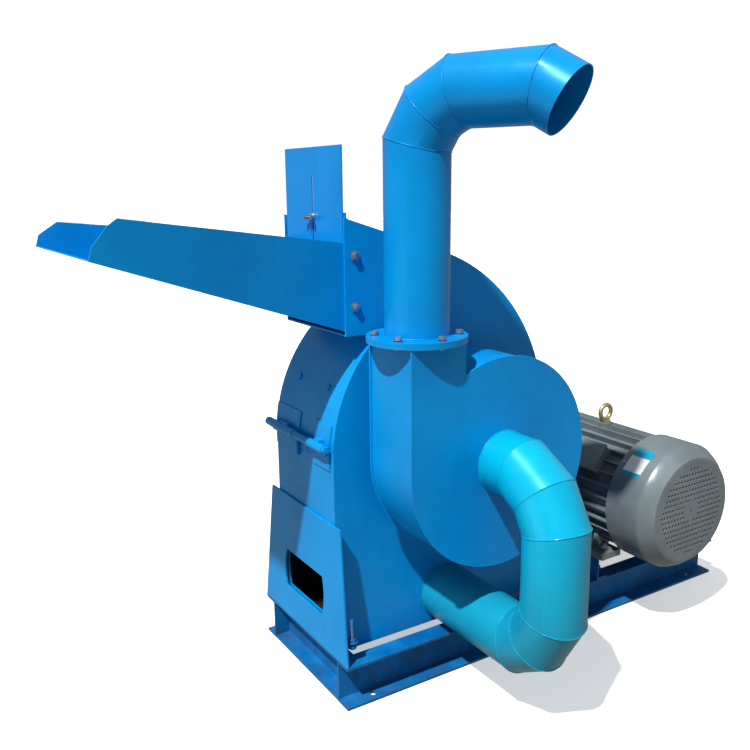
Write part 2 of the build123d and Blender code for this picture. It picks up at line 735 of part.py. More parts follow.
hammer_offset = 14.0
bay_ys = [(low + high) / 2 for low, high in zip(disc_ys[:-1], disc_ys[1:])]
hammer_ys = [bay + step * hammer_offset for bay in bay_ys for step in (-1, 1)]
bay_half = (disc_pitch - disc_plate) / 2
spacer_gap = 0.4
spacers = []
for px, pz in pin_spots:
    for bay in bay_ys:
        edge = hammer_offset + hammer_plate / 2 + spacer_gap
        inner = hammer_offset - hammer_plate / 2 - spacer_gap
        for low, high in ((-bay_half, -edge), (-inner, inner), (edge, bay_half)):
            spacers.append(ring_y(px, pz, pin_r + 6, pin_r, bay + low, bay + high))
save("pin_spacers", spacers)
tip = hammer_reach
for index, (px, pz) in enumerate(pin_spots):
    row = []
    for y in hammer_ys:
        y0 = y - hammer_plate / 2
        y1 = y + hammer_plate / 2
        hammer = block(px - hammer_width / 2, px + hammer_width / 2, y0, y1, pz - tip, pz + hammer_back)
        hammer = hammer - rod_y(px, pz, pin_r + running_fit, y0 - 1, y1 + 1)
        row.append(hammer)
    save("hammer_row_" + str(index + 1), row)

# ---- fan housing: two scroll-shaped plates with a wrapper between them
duct_x0 = shaft_x - scroll_end_r
duct_x1 = duct_x0 + duct_width


def scroll_face(inset):
    # r grows steadily from the tongue round to the front of the duct
    x0 = duct_x0 + inset
    x1 = duct_x1 - inset
    start = degrees(acos((x1 - shaft_x) / (scroll_start_r - inset)))

    def spot(part):
        angle = radians(start - (start + 180.0) * part)
        r = scroll_start_r + (scroll_end_r - scroll_start_r) * part - inset
        return (shaft_x + r * cos(angle), shaft_height + r * sin(angle))

    steps = 9
    edges = []
    for step in range(steps):
        edges.append(ThreePointArc(spot(step / steps), spot((step + 0.5) / steps), spot((step + 1) / steps)))
    edges.append(Line(spot(1), (x0, duct_top)))
    edges.append(Line((x0, duct_top), (x1, duct_top)))
    edges.append(Line((x1, duct_top), spot(0)))
    return make_face(edges)


near_plate = slab_y(scroll_face(0), fan_near_y, fan_near_y + fan_plate)
fan_eye_r = intake_pipe_r - pipe_wall
near_plate = near_plate - rod_y(shaft_x, shaft_height, fan_eye_r, fan_near_y - 1, fan_near_y + fan_plate + 1)
save("fan_front_plate", near_plate)
back_plate = slab_y(scroll_face(0), fan_far_y - fan_plate, fan_far_y)
back_plate = back_plate - rod_y(shaft_x, shaft_height, shaft_r + 6, fan_far_y - fan_plate - 1, fan_far_y + 1)
standoff_r = 15.0
standoff_spots = [(-150.0, -95.0), (150.0, -95.0), (-120.0, -200.0), (120.0, -200.0)]
for dx, dz in standoff_spots:
    stand_x = shaft_x + dx
    stand_z = shaft_height + dz
    back_plate = back_plate - rod_y(stand_x, stand_z, 7, fan_far_y - fan_plate - 1, fan_far_y + 1)
for dx, dz in standoff_spots:
    back_plate = back_plate + ring_y(shaft_x + dx, shaft_height + dz, standoff_r, 7, fan_far_y, -half_width)
save("fan_back_plate", back_plate)
wrap_inset = 5.0
wrapper = slab_y(scroll_face(wrap_inset), fan_near_y + fan_plate, fan_far_y - fan_plate)
wrapper = wrapper - slab_y(scroll_face(wrap_inset + 3), fan_near_y, fan_far_y)
duct_bore = block(
    duct_x0 + wrap_inset + 3, duct_x1 - wrap_inset - 3, fan_near_y + fan_plate, fan_far_y - fan_plate,
    duct_top - 40, duct_top + 20
)
wrapper = wrapper - duct_bore
standoff_bolts = []
for dx, dz in standoff_spots:
    x = shaft_x + dx
    z = shaft_height + dz
    standoff_bolts.append(bolt_y(x, fan_far_y - fan_plate, z, 7, -fan_far_y + fan_plate - half_width))
save("fan_standoff_bolts", standoff_bolts)

blade_near_y = fan_near_y + fan_plate + 14
blade_far_y = fan_far_y - fan_plate - 16
impeller = rod_y(shaft_x, shaft_height, impeller_r, blade_far_y, blade_far_y + 6)
impeller = impeller + rod_y(shaft_x, shaft_height, 45, impeller_hub_y - 6, blade_far_y)
blade_count = 6
for index in range(blade_count):
    blade = Pos(shaft_x, 0, shaft_height) * Rot(0, index * 360 / blade_count, 0) * block(
        40, impeller_r, blade_near_y, blade_far_y, -4, 4
    )
    impeller = impeller + blade
impeller = impeller - rod_y(shaft_x, shaft_height, shaft_r, impeller_hub_y, blade_far_y + 20)
save("fan_impeller", impeller)

# ---- outlet: flange pair and mitred gooseneck
pipe_y = (fan_near_y + fan_far_y) / 2
pipe_x = (duct_x0 + duct_x1) / 2
flange_bolt_count = 6
flange_bolt_hole_r = 5.0
bolt_angles = [60.0 * index + 30.0 for index in range(flange_bolt_count)]


def flange(z0, bore):
    plate = rod_z(pipe_x, pipe_y, flange_r, z0, z0 + flange_thick)
    plate = plate - rod_z(pipe_x, pipe_y, bore, z0 - 1, z0 + flange_thick + 1)
    for angle in bolt_angles:
        bx = pipe_x + flange_bolt_r * cos(radians(angle))
        by = pipe_y + flange_bolt_r * sin(radians(angle))
        plate = plate - rod_z(bx, by, flange_bolt_hole_r, z0 - 1, z0 + flange_thick + 1)
    return plate


outlet_bore = outlet_pipe_r - pipe_wall
save("fan_wrapper", wrapper + flange(duct_top, outlet_bore))
pipe_foot = duct_top + 2 * flange_thick


def pipe_solid(points, r):
    path = Polyline(*points)
    start = Plane(origin=points[0], z_dir=Vector(*points[1]) - Vector(*points[0]))
    return sweep(start * Circle(r), path=path, transition=Transition.RIGHT)


def pipe(points, r, wall):
    return pipe_solid(points, r) - pipe_solid(points, r - wall)


heading = radians(outlet_heading)
outlet_points = [(pipe_x, pipe_y, duct_top + flange_thick), (pipe_x, pipe_y, outlet_rise)]
for link, tilt in zip(outlet_links, (30, 60, 90, 120)):
    px, py, pz = outlet_points[-1]
    flat = link * sin(radians(tilt))
    outlet_points.append((px + flat * sin(heading), py - flat * cos(heading), pz + link * cos(radians(tilt))))
gooseneck = pipe(outlet_points, outlet_pipe_r, pipe_wall)
gooseneck = gooseneck + flange(duct_top + flange_thick, outlet_bore)
rim_start = Vector(*outlet_points[-1])
rim_dir = (rim_start - Vector(*outlet_points[-2])).normalized()
rim_plane = Plane(origin=rim_start - rim_dir * 3, z_dir=rim_dir)
rim = rim_plane * Torus(outlet_pipe_r + 1.5, 4) - pipe_solid(outlet_points, outlet_pipe_r - pipe_wall)
save("gooseneck", gooseneck + rim)
flange_bolts = []
for angle in bolt_angles:
    bx = pipe_x + flange_bolt_r * cos(radians(angle))
    by = pipe_y + flange_bolt_r * sin(radians(angle))
    bolt = bolt_z(bx, by, pipe_foot, flange_bolt_hole_r, 2 * flange_thick + 12)
    nut = Pos(bx, by, duct_top - 8) * hexagon(8.5, 8)
    flange_bolts.append(bolt + nut)
save("flange_bolts", flange_bolts)

# ---- suction pipe from the casing bottom to the fan eye
intake_points = [(shaft_x, fan_near_y, shaft_height), (shaft_x, fan_near_y - intake_out, shaft_height)]
for link, drop in zip(intake_links, (30, 60)):
    px, py, pz = intake_points[-1]
    intake_points.append((px, py - link * cos(radians(drop)), pz - link * sin(radians(drop))))
run_y = intake_points[-1][1]
low_flat = sum(link * cos(radians(drop)) for link, drop in zip(intake_low_links, (60, 30)))
low_drop = sum(link * sin(radians(drop)) for link, drop in zip(intake_low_links, (60, 30)))
bend_z = intake_height + low_drop
intake_points.append((shaft_x, run_y, bend_z))
first = intake_low_links[0]
intake_points.append((shaft_x, run_y + first * cos(radians(60)), bend_z - first * sin(radians(60))))
intake_points.append((shaft_x, run_y + low_flat, intake_height))
intake_points.append((shaft_x, -half_width, intake_height))
whole_intake = pipe(intake_points, intake_pipe_r, pipe_wall)
riser_mitre = Plane(origin=intake_points[3], z_dir=(0, sin(radians(15)), cos(radians(15))))
save("intake_elbow", split(whole_intake, bisect_by=riser_mitre, keep=Keep.TOP))
save("intake_riser", split(whole_intake, bisect_by=riser_mitre, keep=Keep.BOTTOM))

# ---- pulleys and belts
small_x = shaft_x
small_z = shaft_height
large_x = motor_x
large_z = motor_z


def pulley(x, z, r, bore, hub_r):
    y0 = belt_plane_y - pulley_width / 2
    y1 = belt_plane_y + pulley_width / 2
    body = rod_y(x, z, r, y0, y1)
    for index in range(belt_count):
        y = belt_plane_y + (index - (belt_count - 1) / 2) * belt_pitch
        top = belt_width / 2 + belt_gap + 2.6
        bottom = belt_width / 2 + belt_gap
        depth = belt_thick + belt_gap + 3
        groove_face = make_face(
            Polyline(
                [(r + 1, y - top), (r + 1, y + top), (r - depth, y + bottom), (r - depth, y - bottom)],
                close=True
            )
        )
        groove = Pos(x, 0, z) * revolve(groove_face, Axis.Y, 360)
        body = body - groove
    web_cut = ring_y(x, z, r - 24, hub_r, y0 - 1, y0 + 18) + ring_y(x, z, r - 24, hub_r, y1 - 18, y1 + 1)
    if r - 24 > hub_r + 10:
        body = body - web_cut
    return body - rod_y(x, z, bore, y0 - 1, y1 + 1)


save("driven_pulley", pulley(small_x, small_z, small_pulley_r, shaft_r, 45))
save("motor_pulley", pulley(large_x, large_z, large_pulley_r, motor_shaft_r, 45))
centre_gap = hypot(large_x - small_x, large_z - small_z)
tilt = degrees(atan2(large_z - small_z, large_x - small_x))


def belt_loop(extra):
    # outline round both pulleys: a disc on each and the band between their outer tangents
    ra = small_pulley_r - belt_thick - 1.0 + extra
    rb = large_pulley_r - belt_thick - 1.0 + extra
    lean = asin((rb - ra) / centre_gap)
    sa = sin(lean)
    ca = cos(lean)
    quad = [
        (-ra * sa, ra * ca), (centre_gap - rb * sa, rb * ca),
        (centre_gap - rb * sa, -rb * ca), (-ra * sa, -ra * ca)
    ]
    flat = make_face(Polyline(quad, close=True)) + Circle(ra) + Pos(centre_gap, 0) * Circle(rb)
    return Pos(small_x, small_z) * Rot(0, 0, tilt) * flat


belts = []
for index in range(belt_count):
    y = belt_plane_y + (index - (belt_count - 1) / 2) * belt_pitch
    loop = slab_y(belt_loop(belt_thick), y - belt_width / 2, y + belt_width / 2)
    belts.append(loop - slab_y(belt_loop(0), y - belt_width, y + belt_width))
save("v_belts", belts)

# ---- belt guard: sheet box round both pulleys, open towards the casing
guard_plate = 2.5
guard_y0 = belt_plane_y - pulley_width / 2 - 4
guard_y1 = belt_plane_y + pulley_width / 2 + 22
guard_extra = belt_thick + 30.0
guard = slab_y(belt_loop(guard_extra), guard_y0, guard_y1)
guard = guard - slab_y(belt_loop(guard_extra - guard_plate), guard_y0 - 1, guard_y1 - guard_plate)
guard_feet = []
for foot_x in (shaft_x + 190.0, motor_x - 205.0):
    foot_top = 420.0 if foot_x < shaft_x + 250 else 300.0
    post = block(foot_x - 20, foot_x + 20, guard_y0 + 4, guard_y0 + 8, rail_height, foot_top)
    toe = block(foot_x - 20, foot_x + 20, rail_inner_y + 4, guard_y0 + 8, rail_height, rail_height + 4)
    guard_feet.append(post + toe)
save("belt_guard", guard + guard_feet)

# ---- motor: finned frame with feet, shields, fan cover, shaft and fan
frame_y0 = motor_face_y + cover_length - 8
body = ring_y(motor_x, motor_z, frame_r, frame_r - 14, frame_y0, frame_end_y)
fins = []
for index in range(fin_count):
    angle = (index + 0.5) * 360.0 / fin_count
    fin = block(frame_r - 4, fin_r, frame_y0 + 10, frame_end_y - 8, -2.5, 2.5)
    fins.append(Pos(motor_x, 0, motor_z) * Rot(0, -angle, 0) * fin)
body = body + fins
foot_half = foot_span / 2
foot_y0 = foot_centre_y - foot_half - 32
foot_y1 = foot_centre_y + foot_half + 32
for side in (-1, 1):
    inner_x = motor_x + side * (foot_half - 42)
    outer_x = motor_x + side * (foot_half + 38)
    pad = block(inner_x, outer_x, foot_y0, foot_y1, motor_foot_height, motor_foot_height + 20)
    web_outline = [
        (inner_x, motor_foot_height), (outer_x - side * 22, motor_foot_height),
        (motor_x + side * 128, motor_z - 92), (motor_x + side * 70, motor_z - 140)
    ]
    for web_y in (foot_y0 + 58, foot_y1 - 72):
        pad = pad + slab_y(make_face(Polyline(web_outline, close=True)), web_y, web_y + 14)
    for along in (-1, 1):
        hole_y = foot_centre_y + along * foot_half
        hole_x = motor_x + side * foot_half
        pad = pad - rod_z(hole_x, hole_y, 7, motor_foot_height - 1, motor_foot_height + 90)
    body = body + pad
body = body - rod_y(motor_x, motor_z, frame_r - 14, frame_y0 - 1, frame_end_y + 1)
eye_boss = rod_z(motor_x, foot_centre_y + 5, 20, motor_z + frame_r - 4, motor_z + fin_r + 4)
body = body + eye_boss
save("motor_frame", body)

eye_z = motor_z + fin_r + 4
eye_ring = Pos(motor_x, foot_centre_y + 5, eye_z + 34) * Rot(90, 0, 0) * Torus(23, 7)
eye_base = rod_z(motor_x, foot_centre_y + 5, 17, eye_z, eye_z + 8)
save("motor_eyebolt", eye_ring + eye_base)

drive_shield = ring_y(motor_x, motor_z, frame_r, motor_shaft_r + running_fit, frame_end_y, frame_end_y + 22)
boss_bore = motor_shaft_r + running_fit
drive_shield = drive_shield + ring_y(motor_x, motor_z, 78, boss_bore, frame_end_y + 20, frame_end_y + 44)
fan_shield = ring_y(motor_x, motor_z, frame_r, motor_shaft_r + running_fit, frame_y0 - 16, frame_y0)
save("motor_end_shields", [drive_shield, fan_shield])
stator = ring_y(motor_x, motor_z, frame_r - 14, 102, frame_y0 + 50, frame_end_y - 60)
save("motor_stator", stator)

cover_y1 = motor_face_y + cover_length
shoulder = 46.0
cover_outer = [
    (0, motor_face_y), (cover_face_r, motor_face_y), (cover_face_r + 12, motor_face_y + 2),
    (cover_r - 12, motor_face_y + shoulder * 0.55), (cover_r, motor_face_y + shoulder), (cover_r, cover_y1)
]
cover_wall = 2.5
cover_inner = [
    (cover_r - cover_wall, cover_y1), (cover_r - cover_wall, motor_face_y + shoulder + 1),
    (cover_r - 12 - cover_wall, motor_face_y + shoulder * 0.55 + 1.5),
    (cover_face_r + 11, motor_face_y + 2 + cover_wall),
    (cover_face_r - 1, motor_face_y + cover_wall), (0, motor_face_y + cover_wall)
]
cover_face = make_face(Polyline(cover_outer + cover_inner, close=True))
cover = Pos(motor_x, 0, motor_z) * revolve(cover_face, Axis.Y, 360)
grille_pitch_x = 13.0
grille_pitch_z = 16.0
grille_hole_r = 3.9
grille_r = 134.0
grille_plain_r = 34.0
holes = []
for row in range(-8, 9):
    for column in range(-11, 12):
        gx = (column + (0.5 if row % 2 else 0.0)) * grille_pitch_x
        gz = row * grille_pitch_z
        if grille_plain_r < hypot(gx, gz) < grille_r - grille_hole_r:
            holes.append(Pos(gx, gz) * Circle(grille_hole_r))
holes.append(Circle(3.0))
hole_field = Sketch() + holes
cover = cover - Pos(motor_x, motor_face_y + 8, motor_z) * extrude(Plane.XZ * hole_field, 12)
save("motor_fan_cover", cover)
cover_screws = []
for angle in (45, 135, 225, 315):
    spoke = Pos(motor_x, cover_y1 - 14, motor_z) * Rot(0, -angle, 0) * Pos(cover_r, 0, 0) * Rot(0, 90, 0)
    cover_screws.append(spoke * Cylinder(5.5, 4, align=(Align.CENTER, Align.CENTER, Align.MIN)))
save("cover_screws", cover_screws)

motor_shaft_end = belt_plane_y + pulley_width / 2
armature_y = motor_face_y + 42
motor_shaft = rod_y(motor_x, motor_z, motor_shaft_r, armature_y, motor_shaft_end)
motor_shaft = motor_shaft + rod_y(motor_x, motor_z, 100, frame_y0 + 50, frame_end_y - 60)
save("motor_shaft", motor_shaft)
fan_y0 = motor_face_y + 46
fan_y1 = fan_y0 + 52
cooling_fan = ring_y(motor_x, motor_z, 44, motor_shaft_r, fan_y0, fan_y1)
cooling_fan = cooling_fan + ring_y(motor_x, motor_z, 150, motor_shaft_r, fan_y1 - 6, fan_y1)
for index in range(7):
    vane = block(40, 150, fan_y0, fan_y1, -2, 2)
    cooling_fan = cooling_fan + Pos(motor_x, 0, motor_z) * Rot(0, -index * 360 / 7, 0) * vane
save("motor_cooling_fan", cooling_fan)

# ---- terminal box on the upper shoulder of the motor
box_angle = 140.0
box_half = 41.0
box_rise = fin_r + 14
box_y0 = cover_y1 + 68
box_y1 = box_y0 + 100
box_plane = Pos(motor_x, 0, motor_z) * Rot(0, -box_angle, 0)
terminal_box = box_plane * block(frame_r - 2, box_rise, box_y0, box_y1, -box_half, box_half)
terminal_box = terminal_box - rod_y(motor_x, motor_z, frame_r, box_y0 - 5, box_y1 + 5)
lid_half = box_half + 4
box_lid = box_plane * block(box_rise, box_rise + 10, box_y0 - 4, box_y1 + 4, -lid_half, lid_half)
fin_slots = []
for index in range(fin_count):
    angle = (index + 0.5) * 360.0 / fin_count
    if abs(angle - box_angle) < 40:
        fin = block(frame_r - 5, fin_r + 0.01, frame_y0 + 9, frame_end_y, -2.5, 2.5)
        fin_slots.append(Pos(motor_x, 0, motor_z) * Rot(0, -angle, 0) * fin)
save("terminal_box", terminal_box - fin_slots)
save("terminal_box_lid", box_lid)

foot_bolts = []
for side in (-1, 1):
    for along in (-1, 1):
        hole_y = foot_centre_y + along * foot_half
        bolt = bolt_z(motor_x + side * foot_half, hole_y, motor_foot_height + 20, 7, 44)
        nut = Pos(motor_x + side * foot_half, hole_y, motor_foot_height - 19) * hexagon(12, 11)
        foot_bolts.append(bolt + nut)
save("motor_foot_bolts", foot_bolts)

# ---- blank rating plate on the fan cover
plate_angle = 131.0
plate_half = 47.0
plate_shell = ring_y(motor_x, motor_z, cover_r + 0.8, cover_r, cover_y1 - 86, cover_y1 - 22)
plate_block = block(150, 230, cover_y1 - 90, cover_y1 - 20, -plate_half, plate_half)
plate_cutter = Pos(motor_x, 0, motor_z) * Rot(0, -plate_angle, 0) * plate_block
save("rating_plate", plate_shell & plate_cutter)
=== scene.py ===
import bpy
import json
from math import cos, radians, sin
from mathutils import Matrix, Vector

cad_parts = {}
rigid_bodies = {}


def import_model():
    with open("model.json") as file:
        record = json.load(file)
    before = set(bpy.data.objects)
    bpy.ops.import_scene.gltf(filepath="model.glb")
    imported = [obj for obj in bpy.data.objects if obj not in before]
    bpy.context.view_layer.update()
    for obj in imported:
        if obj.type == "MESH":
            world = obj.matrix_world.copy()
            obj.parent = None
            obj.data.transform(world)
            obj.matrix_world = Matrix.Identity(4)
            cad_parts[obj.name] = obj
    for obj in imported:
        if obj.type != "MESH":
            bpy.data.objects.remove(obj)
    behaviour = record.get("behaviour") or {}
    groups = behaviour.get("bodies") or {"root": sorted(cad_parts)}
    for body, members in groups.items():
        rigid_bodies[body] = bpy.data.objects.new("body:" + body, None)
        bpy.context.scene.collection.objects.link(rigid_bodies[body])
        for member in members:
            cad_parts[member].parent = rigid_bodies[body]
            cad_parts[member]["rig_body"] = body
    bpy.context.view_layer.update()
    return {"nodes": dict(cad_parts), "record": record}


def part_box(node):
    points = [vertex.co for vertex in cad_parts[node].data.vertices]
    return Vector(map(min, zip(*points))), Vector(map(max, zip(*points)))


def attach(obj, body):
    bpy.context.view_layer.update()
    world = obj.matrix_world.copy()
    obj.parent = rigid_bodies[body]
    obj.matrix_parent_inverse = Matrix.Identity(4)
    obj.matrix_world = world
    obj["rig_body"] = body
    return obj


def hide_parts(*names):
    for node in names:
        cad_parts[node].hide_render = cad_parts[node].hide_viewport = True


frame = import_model()
nodes = frame["nodes"]
print("frame loaded:", len(nodes), "nodes")


# small tools for picking, copying and finishing pieces
def clearSelection():
    if bpy.context.object and bpy.context.object.mode != "OBJECT":
        bpy.ops.object.mode_set(mode="OBJECT")
    bpy.ops.object.select_all(action="DESELECT")


def pick(obj):
    clearSelection()
    obj.select_set(True)
    bpy.context.view_layer.objects.active = obj


def editAll(obj):
    pick(obj)
    bpy.ops.object.mode_set(mode="EDIT")
    bpy.ops.mesh.select_all(action="SELECT")


def leaveEdit():
    bpy.ops.object.mode_set(mode="OBJECT")


def selectFaces(obj, test):
    # picks faces by their centre and normal, then goes back into edit mode
    bpy.ops.object.mode_set(mode="OBJECT")
    for vert in obj.data.vertices:
        vert.select = False
    for edge in obj.data.edges:
        edge.select = False
    for face in obj.data.polygons:
        face.select = test(face.center, face.normal)
    bpy.ops.object.mode_set(mode="EDIT")
    bpy.ops.mesh.select_mode(type="FACE")


def applyModifier(obj, kind, **settings):
    pick(obj)
    modifier = obj.modifiers.new(kind.title(), kind)
    for key, value in settings.items():
        setattr(modifier, key, value)
    bpy.ops.object.modifier_apply(modifier=modifier.name)


def finishPiece(obj, name, material, body, smoothAngle=35, replaced=()):
    pick(obj)
    bpy.ops.object.transform_apply(location=True, rotation=True, scale=True)
    obj.name = name
    obj.data.name = name
    obj.data.materials.clear()
    obj.data.materials.append(material)
    bpy.ops.object.shade_smooth_by_angle(angle=radians(smoothAngle))
    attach(obj, body)
    if replaced:
        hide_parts(*replaced)
    return obj


def joinAll(parts):
    clearSelection()
    for part in parts:
        part.select_set(True)
    bpy.context.view_layer.objects.active = parts[0]
    if len(parts) > 1:
        bpy.ops.object.join()
    return bpy.context.object


def copyTo(template, places):
    # one joined object with a copy of the template's mesh at each place
    copies = []
    for place in places:
        twin = template.copy()
        twin.data = template.data.copy()
        bpy.context.scene.collection.objects.link(twin)
        twin.matrix_world = place
        copies.append(twin)
    bpy.context.view_layer.update()
    return joinAll(copies)


def dropTemplate(obj):
    bpy.data.objects.remove(obj)


def facing(place, axis):
    # turns a piece made along +Z so that it points along axis at place
    return Matrix.Translation(Vector(place)) @ Vector(axis).to_track_quat("Z", "Y").to_matrix().to_4x4()


def bodyOfNode(node):
    return nodes[node]["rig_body"]


def slotOfNode(node):
    for row in frame["record"]["subparts"]:
        if row["node"] == node:
            return row["material_slot"]
    return None


def pieceName(node):
    words = node.split("_")
    return words[0] + "".join(word.title() for word in words[1:])


doublesWithin = 0.00002     # a node's mesh is loose triangles until its doubles are merged


def mergedCopy(node):
    # a free copy of a node with its doubles merged, left in edit mode
    source = nodes[node]
    twin = source.copy()
    twin.data = source.data.copy()
    for key in [key for key in twin.keys() if key.startswith("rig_")]:
        del twin[key]
    twin.parent = None
    bpy.context.scene.collection.objects.link(twin)
    editAll(twin)
    bpy.ops.mesh.remove_doubles(threshold=doublesWithin)
    return twin


cameraLook = {
    "place": (-1.6521, -1.8851, 1.3178),
    "heading": 58.11,      # degrees from +X towards +Y
    "dip": 12.94,          # degrees below the horizon
    "roll": -0.6,
    "lens": 40.03,
    "sensor": 36,
}


def makeCamera(look):
    heading, dip, roll = (radians(look[key]) for key in ("heading", "dip", "roll"))
    forward = Vector((cos(heading) * cos(dip), sin(heading) * cos(dip), -sin(dip)))
    level = Vector((sin(heading), -cos(heading), 0))
    upright = level.cross(forward)
    right = level * cos(roll) + upright * sin(roll)
    up = upright * cos(roll) - level * sin(roll)
    turn = Matrix((right, up, -forward)).transposed().to_4x4()
    data = bpy.data.cameras.new("viewCamera")
    data.lens = look["lens"]
    data.sensor_width = look["sensor"]
    data.dof.use_dof = False
    camera = bpy.data.objects.new("viewCamera", data)
    bpy.context.scene.collection.objects.link(camera)
    camera.matrix_world = Matrix.Translation(Vector(look["place"])) @ turn
    bpy.context.scene.camera = camera


makeCamera(cameraLook)

lightLook = {
    "sunTowards": (-0.50, -0.25, 0.84),
    "sunStrength": 4.6,
    "sunSoftness": 1.6,     # degrees
    "sunTint": (1.0, 0.99, 0.96),
    "skyStrength": 0.30,
    "skyTint": (0.86, 0.93, 1.0),
    "groundStrength": 0.34,
    "groundTint": (1.0, 0.97, 0.92),
    "horizon": 0.12,        # half height of the blend from ground light to sky light
    "backdropStrength": 1.06,
    "glowPlace": (-2.6, -0.35, 0.25),     # low light off the ground in front of the feed end
    "glowAim": (-0.6, 0, 0.45),
    "glowPower": 4.4,
    "glowSize": 1.4,
    "floorTint": (0.88, 0.88, 0.87),
    "floorDim": 0.985,      # tone of the darker mottles
    "floorLift": 0.5,
    "floorSize": 60,
    "floorDrop": 0.001,
    "floorRough": 0.9,
}


def makeLights(look):
    data = bpy.data.lights.new("keySun", "SUN")
    data.energy = look["sunStrength"]
    data.angle = radians(look["sunSoftness"])
    data.color = look["sunTint"]
    lamp = bpy.data.objects.new("keySun", data)
    lamp.rotation_euler = Vector(look["sunTowards"]).to_track_quat("Z", "Y").to_euler()
    bpy.context.scene.collection.objects.link(lamp)

    data = bpy.data.lights.new("groundGlow", "AREA")
    data.energy = look["glowPower"]
    data.size = look["glowSize"]
    data.color = look["groundTint"]
    lamp = bpy.data.objects.new("groundGlow", data)
    lamp.location = look["glowPlace"]
    away = Vector(look["glowPlace"]) - Vector(look["glowAim"])
    lamp.rotation_euler = away.to_track_quat("Z", "Y").to_euler()
    bpy.context.scene.collection.objects.link(lamp)

    world = bpy.data.worlds.new("paleStudio")
    bpy.context.scene.world = world
    world.use_nodes = True
    tree = world.node_tree
    glow = tree.nodes["Background"]
    direction = tree.nodes.new("ShaderNodeTexCoord").outputs["Generated"]
    upward = tree.nodes.new("ShaderNodeSeparateXYZ")
    tree.links.new(direction, upward.inputs["Vector"])
    sky = tree.nodes.new("ShaderNodeMapRange")     # ground light below the horizon, sky light above
    sky.inputs["From Min"].default_value = -look["horizon"]
    sky.inputs["From Max"].default_value = look["horizon"]
    tree.links.new(upward.outputs["Z"], sky.inputs["Value"])
    tint = tree.nodes.new("ShaderNodeMix")
    tint.data_type = "RGBA"
    tree.links.new(sky.outputs["Result"], tint.inputs[0])
    tint.inputs[6].default_value = (*[part * look["groundStrength"] for part in look["groundTint"]], 1)
    tint.inputs[7].default_value = (*[part * look["skyStrength"] for part in look["skyTint"]], 1)
    tree.links.new(tint.outputs[2], glow.inputs["Color"])
    backdrop = tree.nodes.new("ShaderNodeBackground")
    backdrop.inputs["Color"].default_value = (1, 1, 1, 1)
    backdrop.inputs["Strength"].default_value = look["backdropStrength"]
    seen = tree.nodes.new("ShaderNodeLightPath")
    choose = tree.nodes.new("ShaderNodeMixShader")
    tree.links.new(seen.outputs["Is Camera Ray"], choose.inputs[0])
    tree.links.new(glow.outputs[0], choose.inputs[1])
    tree.links.new(backdrop.outputs[0], choose.inputs[2])
    tree.links.new(choose.outputs[0], tree.nodes["World Output"].inputs["Surface"])


makeLights(lightLook)
bpy.context.scene.view_settings.view_transform = "Standard"
bpy.context.scene.view_settings.look = "None"
print("camera and light ready")


# material tools
def startMaterial(name):
    material = bpy.data.materials.new(name)
    material.use_nodes = True
    tree = material.node_tree
    shader = tree.nodes["Principled BSDF"]
    coords = tree.nodes.new("ShaderNodeTexCoord").outputs["Object"]
    return material, tree, shader, coords


def noise(tree, coords, scale, detail=4.0, rough=0.55, stretch=None):
    if stretch:
        mapping = tree.nodes.new("ShaderNodeMapping")
        mapping.inputs["Scale"].default_value = stretch
        tree.links.new(coords, mapping.inputs["Vector"])
        coords = mapping.outputs["Vector"]
    node = tree.nodes.new("ShaderNodeTexNoise")
    node.inputs["Scale"].default_value = scale
    node.inputs["Detail"].default_value = detail
    node.inputs["Roughness"].default_value = rough
    tree.links.new(coords, node.inputs["Vector"])
    return node.outputs["Fac"]


def ramp(tree, factor, stops):
    node = tree.nodes.new("ShaderNodeValToRGB")
    steps = node.color_ramp.elements
    while len(steps) < len(stops):
        steps.new(0.5)
    for step, (place, colour) in zip(steps, stops):
        step.position = place
        step.color = (*colour, 1) if isinstance(colour, tuple) else (colour, colour, colour, 1)
    tree.links.new(factor, node.inputs["Fac"])
    return node.outputs["Color"]


def blendColour(tree, factor, low, high):
    node = tree.nodes.new("ShaderNodeMix")
    node.data_type = "RGBA"
    for value, socket in ((factor, node.inputs[0]), (low, node.inputs[6]), (high, node.inputs[7])):
        if isinstance(value, (int, float)):
            socket.default_value = value
        elif isinstance(value, tuple):
            socket.default_value = (*value, 1)
        else:
            tree.links.new(value, socket)
    return node.outputs[2]


def mathNode(tree, kind, first, second=None, clamp=False):
    node = tree.nodes.new("ShaderNodeMath")
    node.operation = kind
    node.use_clamp = clamp
    for value, socket in ((first, node.inputs[0]), (second, node.inputs[1])):
        if value is None:
            continue
        if isinstance(value, (int, float)):
            socket.default_value = value
        else:
            tree.links.new(value, socket)
    return node.outputs[0]


def remap(tree, value, low, high, newLow, newHigh):
    node = tree.nodes.new("ShaderNodeMapRange")
    node.clamp = True
    for key, number in zip(("From Min", "From Max", "To Min", "To Max"), (low, high, newLow, newHigh)):
        node.inputs[key].default_value = number
    tree.links.new(value, node.inputs["Value"])
    return node.outputs["Result"]


def bumpFrom(tree, height, distance, strength, under=None):
    node = tree.nodes.new("ShaderNodeBump")
    node.inputs["Distance"].default_value = distance
    node.inputs["Strength"].default_value = strength
    tree.links.new(height, node.inputs["Height"])
    if under:
        tree.links.new(under, node.inputs["Normal"])
    return node.outputs["Normal"]


def edgeMask(tree, width, low, high):
    # 1 on sharp edges, 0 on flats
    bevel = tree.nodes.new("ShaderNodeBevel")
    bevel.samples = 4
    bevel.inputs["Radius"].default_value = width
    plain = tree.nodes.new("ShaderNodeNewGeometry")
    dot = tree.nodes.new("ShaderNodeVectorMath")
    dot.operation = "DOT_PRODUCT"
    tree.links.new(bevel.outputs["Normal"], dot.inputs[0])
    tree.links.new(plain.outputs["Normal"], dot.inputs[1])
    return remap(tree, dot.outputs["Value"], high, low, 0.0, 1.0)


